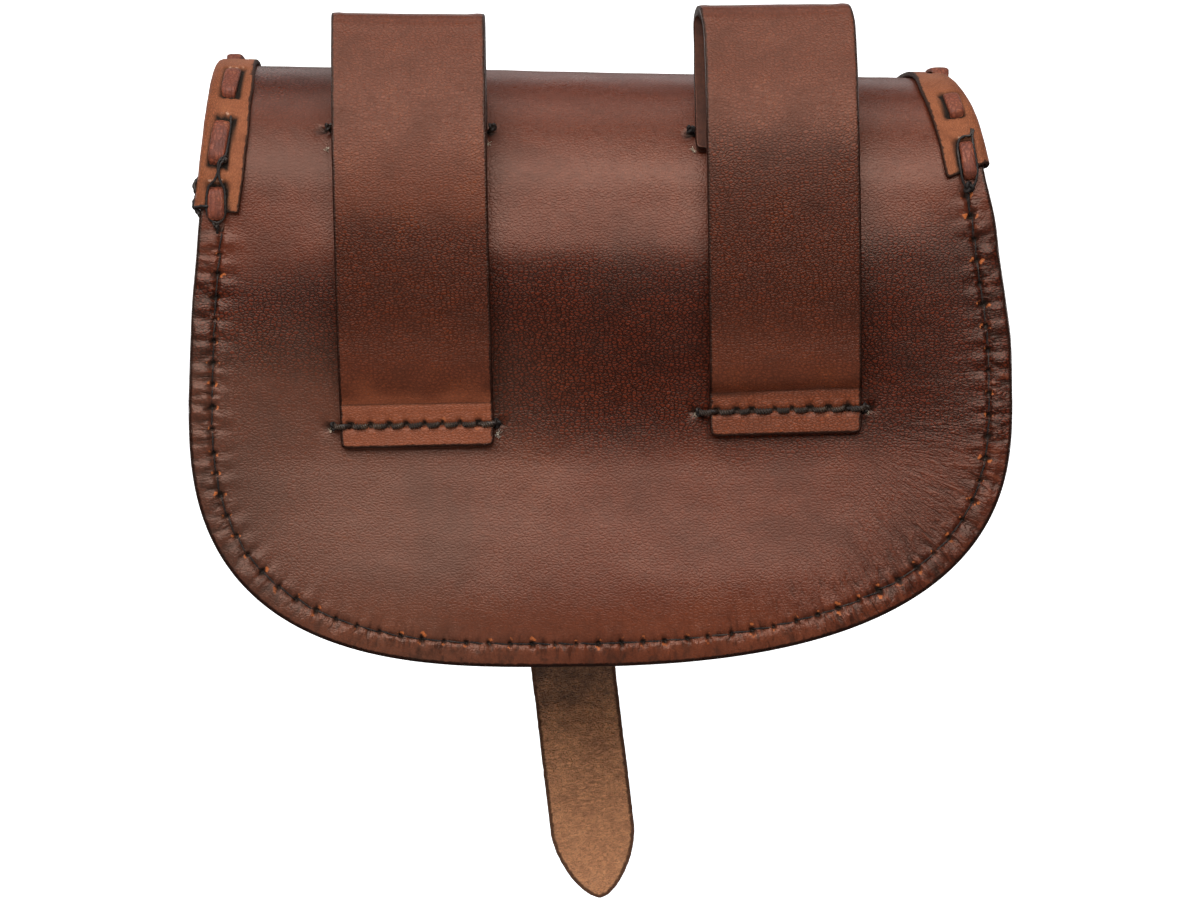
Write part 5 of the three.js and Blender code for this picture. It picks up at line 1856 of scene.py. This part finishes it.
# %% [markdown]
# ## Thread laid by hand
#
# Where the binding ends, the maker caught the last thongs down with thread, and the rows that
# hold the belt loops end in knots on the back. These threads cross edges and each other, so
# they are short curves through a few places, swept with a round section that is pinched and
# twisted as two strands are.

# %% Round sections along a line
THREAD_STEP, THREAD_TWIST, PINCH = 0.3, 2.6, 0.3
ASLANT = (0.31, 0.52, 0.79)  # a direction that no thread here runs in


def sweep_round(path, radius, sides=8, twist=0.0, closed=False):
    """Vertices and faces of a tube round closely spaced points, in millimetres."""
    radius = radius * np.ones(len(path))
    forward = unit(np.roll(path, -1, axis=0) - np.roll(path, 1, axis=0) if closed
                   else np.gradient(path, axis=0))
    normal = np.cross(forward[0], ASLANT)
    angles = full_turn(sides)
    rings = []
    for place, on, size, travelled in zip(path, forward, radius, lengths_of(path)):
        normal = normal - on * normal.dot(on)
        normal /= np.linalg.norm(normal)
        size = size * (1 - PINCH * np.sin(angles - twist * travelled) ** 2 * bool(twist))
        rings.append(place + size[:, None] * (
            np.cos(angles)[:, None] * normal + np.sin(angles)[:, None] * np.cross(on, normal)))
    count = len(path)
    faces = []
    for index in range(count if closed else count - 1):
        low, high = index * sides, (index + 1) % count * sides
        faces += [[low + a, low + (a + 1) % sides, high + (a + 1) % sides, high + a]
                  for a in range(sides)]
    if not closed:
        faces.append(list(range(sides))[::-1])
        faces.append(list(range((count - 1) * sides, count * sides)))
    return np.vstack(rings), faces


def joined(parts):
    """Several meshes, each given as vertices and faces, in one."""
    starts = np.cumsum([0] + [len(points) for points, _ in parts]).tolist()
    return (np.vstack([points for points, _ in parts]),
            [[corner + start for corner in face]
             for start, (_, faces) in zip(starts, parts) for face in faces])


def thread_through(points, radius):
    path = resample(CentreLine(points, steps=14).places, THREAD_STEP)
    return sweep_round(path, radius, twist=THREAD_TWIST)


def knot(place, flat, lift, size, turn, radius):
    """A small overhand knot pressed on a piece of leather."""
    here, facing, forward = (row[0] for row in surface_frame(
        place, [flat], [(flat[0] + math.cos(turn), flat[1] + math.sin(turn))], lift))
    angles = full_turn(48)[:, None]
    path = here + size * (
        (np.sin(angles) + 2 * np.sin(2 * angles)) / 3 * forward
        + (np.cos(angles) - 2 * np.cos(2 * angles)) / 4 * np.cross(facing, forward)
        - 0.45 * np.sin(3 * angles) * facing)
    return sweep_round(path, radius, 7, closed=True)


print("thread helpers ready")

# %% Ends of the rows on the belt loops
def row_ends(loop, row, radius):
    """Thread over both edges of a loop, down to the knots beside it."""
    place, half, seam = bend_loop(loop), loop["width"] / 2, loop["rows"][row]
    v = seam.line[0, 1]
    parts = []
    for side, hole, end in ((-1, 1, 0), (1, -2, -1)):
        past = abs(seam.line[end, 0]) - half
        flat = [(seam.at(seam.holes[hole])[0], v)]
        flat += [(side * (half + out), v + up) for out, up in (
            (-1.2, 0.15), (0.1, 0.1), (0.2 + 0.3 * past, 0), (0.1 + 0.65 * past, -0.05),
            (past, -0.1))]
        lifts = np.array([-0.5, 0.45, 0.35, -0.5, -1.6, -2.9])
        parts.append(thread_through(place(np.array(flat), lifts), radius))
        parts.append(knot(place, (side * (half + 0.8 * past - 0.1), v), -1.7, 0.95, 0.4 + side,
                          0.36))
    return parts


loop_ends = make_object("loop_thread_ends", *joined(
    [part for loop in LOOPS.values() for row, radius in ((0, 0.5), (1, 0.45))
     for part in row_ends(loop, row, radius)]), [black_thread])
finish_piece(loop_ends, "loop_leather")

# %% Thread at the ends of the binding
CATCH_THREADS = [  # x, along and the lift above the leather, first at the left
    [(-81.7, 16.9, 0.7), (-81.4, 15.9, 1.6), (-81.5, 13.1, 1.6), (-81.9, 9.4, 1.6),
     (-82.5, 6.6, 2.0), (-83.4, 5.3, 2.1), (-83.7, 3.5, 2.1), (-83.3, 1.9, 2.2),
     (-82.5, 0.4, 1.8), (-82.3, -2.5, 1.6), (-82.5, -5.4, 0.9), (-83.6, -6.7, 0.5),
     (-85.3, -6.5, 0.5), (-86.3, -4.8, 1.2), (-86.4, -1.4, 1.7), (-85.9, 0.9, 1.9),
     (-84.6, 2.2, 2.2), (-83.9, 3.8, 2.2), (-83.8, 5.6, 2.3), (-83.0, 6.8, 2.2)],
    [(-83.9, -6.8, 0.4), (-84.1, -8.2, 0.15), (-84.3, -9.6, -0.5)],
    [(-85.2, -3.0, 0.9), (-86.4, -3.3, 1.8), (-87.6, -3.2, 1.6), (-88.6, -3.4, 1.2),
     (-89.2, -3.2, 0.0)],
    [(81.9, 15.6, 0.6), (81.9, 14.5, 1.6), (81.5, 12.9, 1.9), (80.2, 12.7, 1.9),
     (79.1, 11.9, 1.8), (78.7, 10.0, 1.6), (78.9, 7.4, 1.6), (79.3, 4.6, 1.5),
     (79.8, 2.2, 1.1), (80.8, 0.6, 0.7), (81.9, 1.0, 0.8), (82.7, 2.8, 1.2), (82.9, 5.4, 1.6),
     (82.5, 8.2, 1.6), (82.1, 11.0, 1.7), (82.0, 13.0, 1.8), (82.3, 14.6, 1.4),
     (82.5, 15.4, 0.6)],
    [(81.0, -0.4, 0.5), (81.1, -2.2, 0.1), (81.2, -4.0, -0.4)],
]
LEFT_EDGE_THREAD = [
    (-87.8, 3.6, -1.9), (-88.6, 2.6, -0.9), (-89.2, 1.4, -0.5), (-88.9, 0.2, -0.2),
    (-88.7, -0.8, -0.5), (-89.1, -1.9, -0.2), (-89.3, -3.0, -0.3), (-88.7, -4.1, -0.5),
    (-88.0, -5.1, -0.7), (-87.4, -6.2, -1.6)]
CATCH_KNOTS = [  # place on the pattern, lift, size, turn and radius of the thread
    ((-82.6, 6.5), 1.8, 0.85, 0.5, 0.28), ((81.1, 0.9), 0.8, 1.2, 1.2, 0.4),
    ((-84.5, -7.3), 0.4, 0.7, 2.0, 0.26)]


def catch_threads():
    parts = []
    for line in CATCH_THREADS:
        x, along, lift = np.array(line).T
        parts.append(thread_through(on_leather(columns(x, along), lift), 0.34))
    for row, radius, wave in ((LEFT_EDGE_THREAD, 0.62, 0.0), (LEFT_EDGE_THREAD[1:-1], 0.45, 0.5)):
        x, along, lift = np.array(row).T
        away = wave * np.cos(5.0 * along)
        flat = columns(x - 0.3 * away, along)
        parts.append(thread_through(on_leather(flat, lift + away), radius))
    return joined(parts + [knot(on_leather, *settings) for settings in CATCH_KNOTS])


catch_thread = make_object("flap_binding_thread", *catch_threads(), [black_thread])
finish_piece(catch_thread, "tan_leather")

# %% [markdown]
# ## Buckle
#
# The buckle is a rounded frame of brass wire with a prong. Its frame follows a rule, four sides
# with rounded corners and a round section, so a tree makes it; the prong is a tapered wire
# with an eye bent round the lower bar.

# %% Tree: buckle frame
def build_frame_tree():
    tree, given = new_tree("Buckle frame", Width=0.024, Height=0.0165, Corner=0.0032,
                           Wire_radius=0.0015)
    sides = node(tree, "GeometryNodeCurvePrimitiveQuadrilateral", {
        "Width": given["Width"], "Height": given["Height"]})
    bent = node(tree, "GeometryNodeFilletCurve", {
        "Curve": sides, "Count": 10, "Radius": given["Corner"]}, mode="POLY")
    even = node(tree, "GeometryNodeResampleCurve", {"Curve": bent, "Count": 140})
    return end_tree(tree, given, tube(even, given["Wire radius"], 20, False))


frame_tree = build_frame_tree()

# %% Buckle frame and prong
BUCKLE_HALF_WIDTH = 12.0
BUCKLE_CORNER = 3.2
PRONG = 1.1
PRONG_ROUTE = [(77.5, 53.9), (81.5, 55.3), (86.2, 55.9), (91, 57.2), (94, 57.2), (95.6, 56.6)]
EYE_WIRE = 0.95
EYE_RADIUS = BAR + 0.9
frame_height = TOP_BAR_RISE - HEEL_RISE
tip_over = math.atan2(TOP_BAR_Y - HEEL_Y, frame_height)


def move_onto_strap(made):
    """Moves the frame from its own plane, x across and y up, to its place on the strap."""
    places = np.zeros(len(made.data.vertices) * 3, np.float32)
    made.data.vertices.foreach_get("co", places)
    across, up, out = (places.reshape(-1, 3) / MM).T
    up = up + frame_height / 2
    moved = on_strap(across, HEEL_RISE + up - out * math.sin(tip_over),
                     HEEL_Y + up * math.tan(tip_over) + out * math.cos(tip_over)) * MM
    made.data.vertices.foreach_set("co", moved.astype(np.float32).ravel())
    made.data.update()


buckle_frame = point_object("buckle_frame", *[np.zeros((0, 3))] * 4)
grow(buckle_frame, frame_tree, Width=2 * BUCKLE_HALF_WIDTH * MM, Height=frame_height * MM,
     Corner=BUCKLE_CORNER * MM, Wire_radius=BAR * MM, Material=buckle_brass)
move_onto_strap(buckle_frame)
finish_piece(buckle_frame, "buckle_brass", "buckle")

route = CentreLine([on_strap(0.0, rise, y) for rise, y in PRONG_ROUTE], steps=10).places
route = resample(route, 0.4)
taper = PRONG * np.interp(np.linspace(0, 1, len(route)), [0, 0.8, 0.97, 1], [1, 0.85, 0.7, 0.4])
eye_turn = full_turn(32)
eye = on_strap(0.0, HEEL_RISE + EYE_RADIUS * np.sin(eye_turn),
               HEEL_Y + EYE_RADIUS * np.cos(eye_turn))
prong = make_object("buckle_prong", *joined([
    sweep_round(route, taper, 14), sweep_round(eye, EYE_WIRE, 12, closed=True)]), [buckle_brass])
finish_piece(prong, "buckle_brass")

# %% [markdown]
# ## Frayed fibres
#
# Where a thread was cut or a hole was punched, a few pale fibres stand out. A tuft is a point
# with a dozen thin bent hairs round it.

# %% Tree: tufts
def build_tuft_tree():
    tree, given = new_tree("Tufts", Hairs=14, Length=0.0011, Radius=0.00004,
                           Spread=(0.9, 0.9, 3.1), Seed=1)
    hair = node(tree, "GeometryNodeCurvePrimitiveBezierSegment", {
        "Resolution": 5, "Start": (0, 0, 0), "Start Handle": (0, 0, 0.5),
        "End Handle": (0.25, 0, 0.85), "End": (0.6, 0.1, 0.9)})
    sized = node(tree, "GeometryNodeTransform", {
        "Geometry": hair, "Scale": xyz(tree, *[given["Length"]] * 3)})
    many = node(tree, "GeometryNodeDuplicateElements", {
        "Geometry": given["Geometry"], "Amount": given["Hairs"]}, domain="POINT")
    return end_with_copies(tree, given, many, tube(sized, given["Radius"], 3), given["Spread"])


tuft_tree = build_tuft_tree()

# %% Tufts
TUFTS = [  # loop, row, side, how far out past its end, how far down, and size
    ("left", "high_row", 1, -0.6, 3.2, 1.0), ("left", "high_row", -1, -0.4, 4.8, 0.7),
    ("left", "low_row", 1, -0.1, 2.3, 1.0), ("left", "low_row", -1, 0.5, 0.6, 0.9),
    ("right", "high_row", -1, -0.6, 4.4, 0.9), ("right", "low_row", -1, 0.4, 0.5, 0.7),
    ("right", "low_row", 1, 0.3, 0.9, 0.7),
]


def tuft_points():
    """Tufts just outside the ends of the rows of stitches, on the back."""
    flat, sizes = [], []
    for loop, row, side, out, down, size in TUFTS:
        x, along = LOOPS[loop][row].line[0 if side < 0 else -1]
        flat.append((x + side * out, along - down))
        sizes.append((size, size, size))
    return *surface_frame(on_leather, flat, np.array(flat) + (1, 0), 0.1), sizes


tufts = point_object("white_tufts", *tuft_points())
grow(tufts, tuft_tree, Hairs=16, Length=1.0 * MM, Radius=0.045 * MM, Spread=(0.9, 0.9, 3.1),
     Seed=12, Material=pale_fluff)
finish_piece(tufts, "loop_leather")
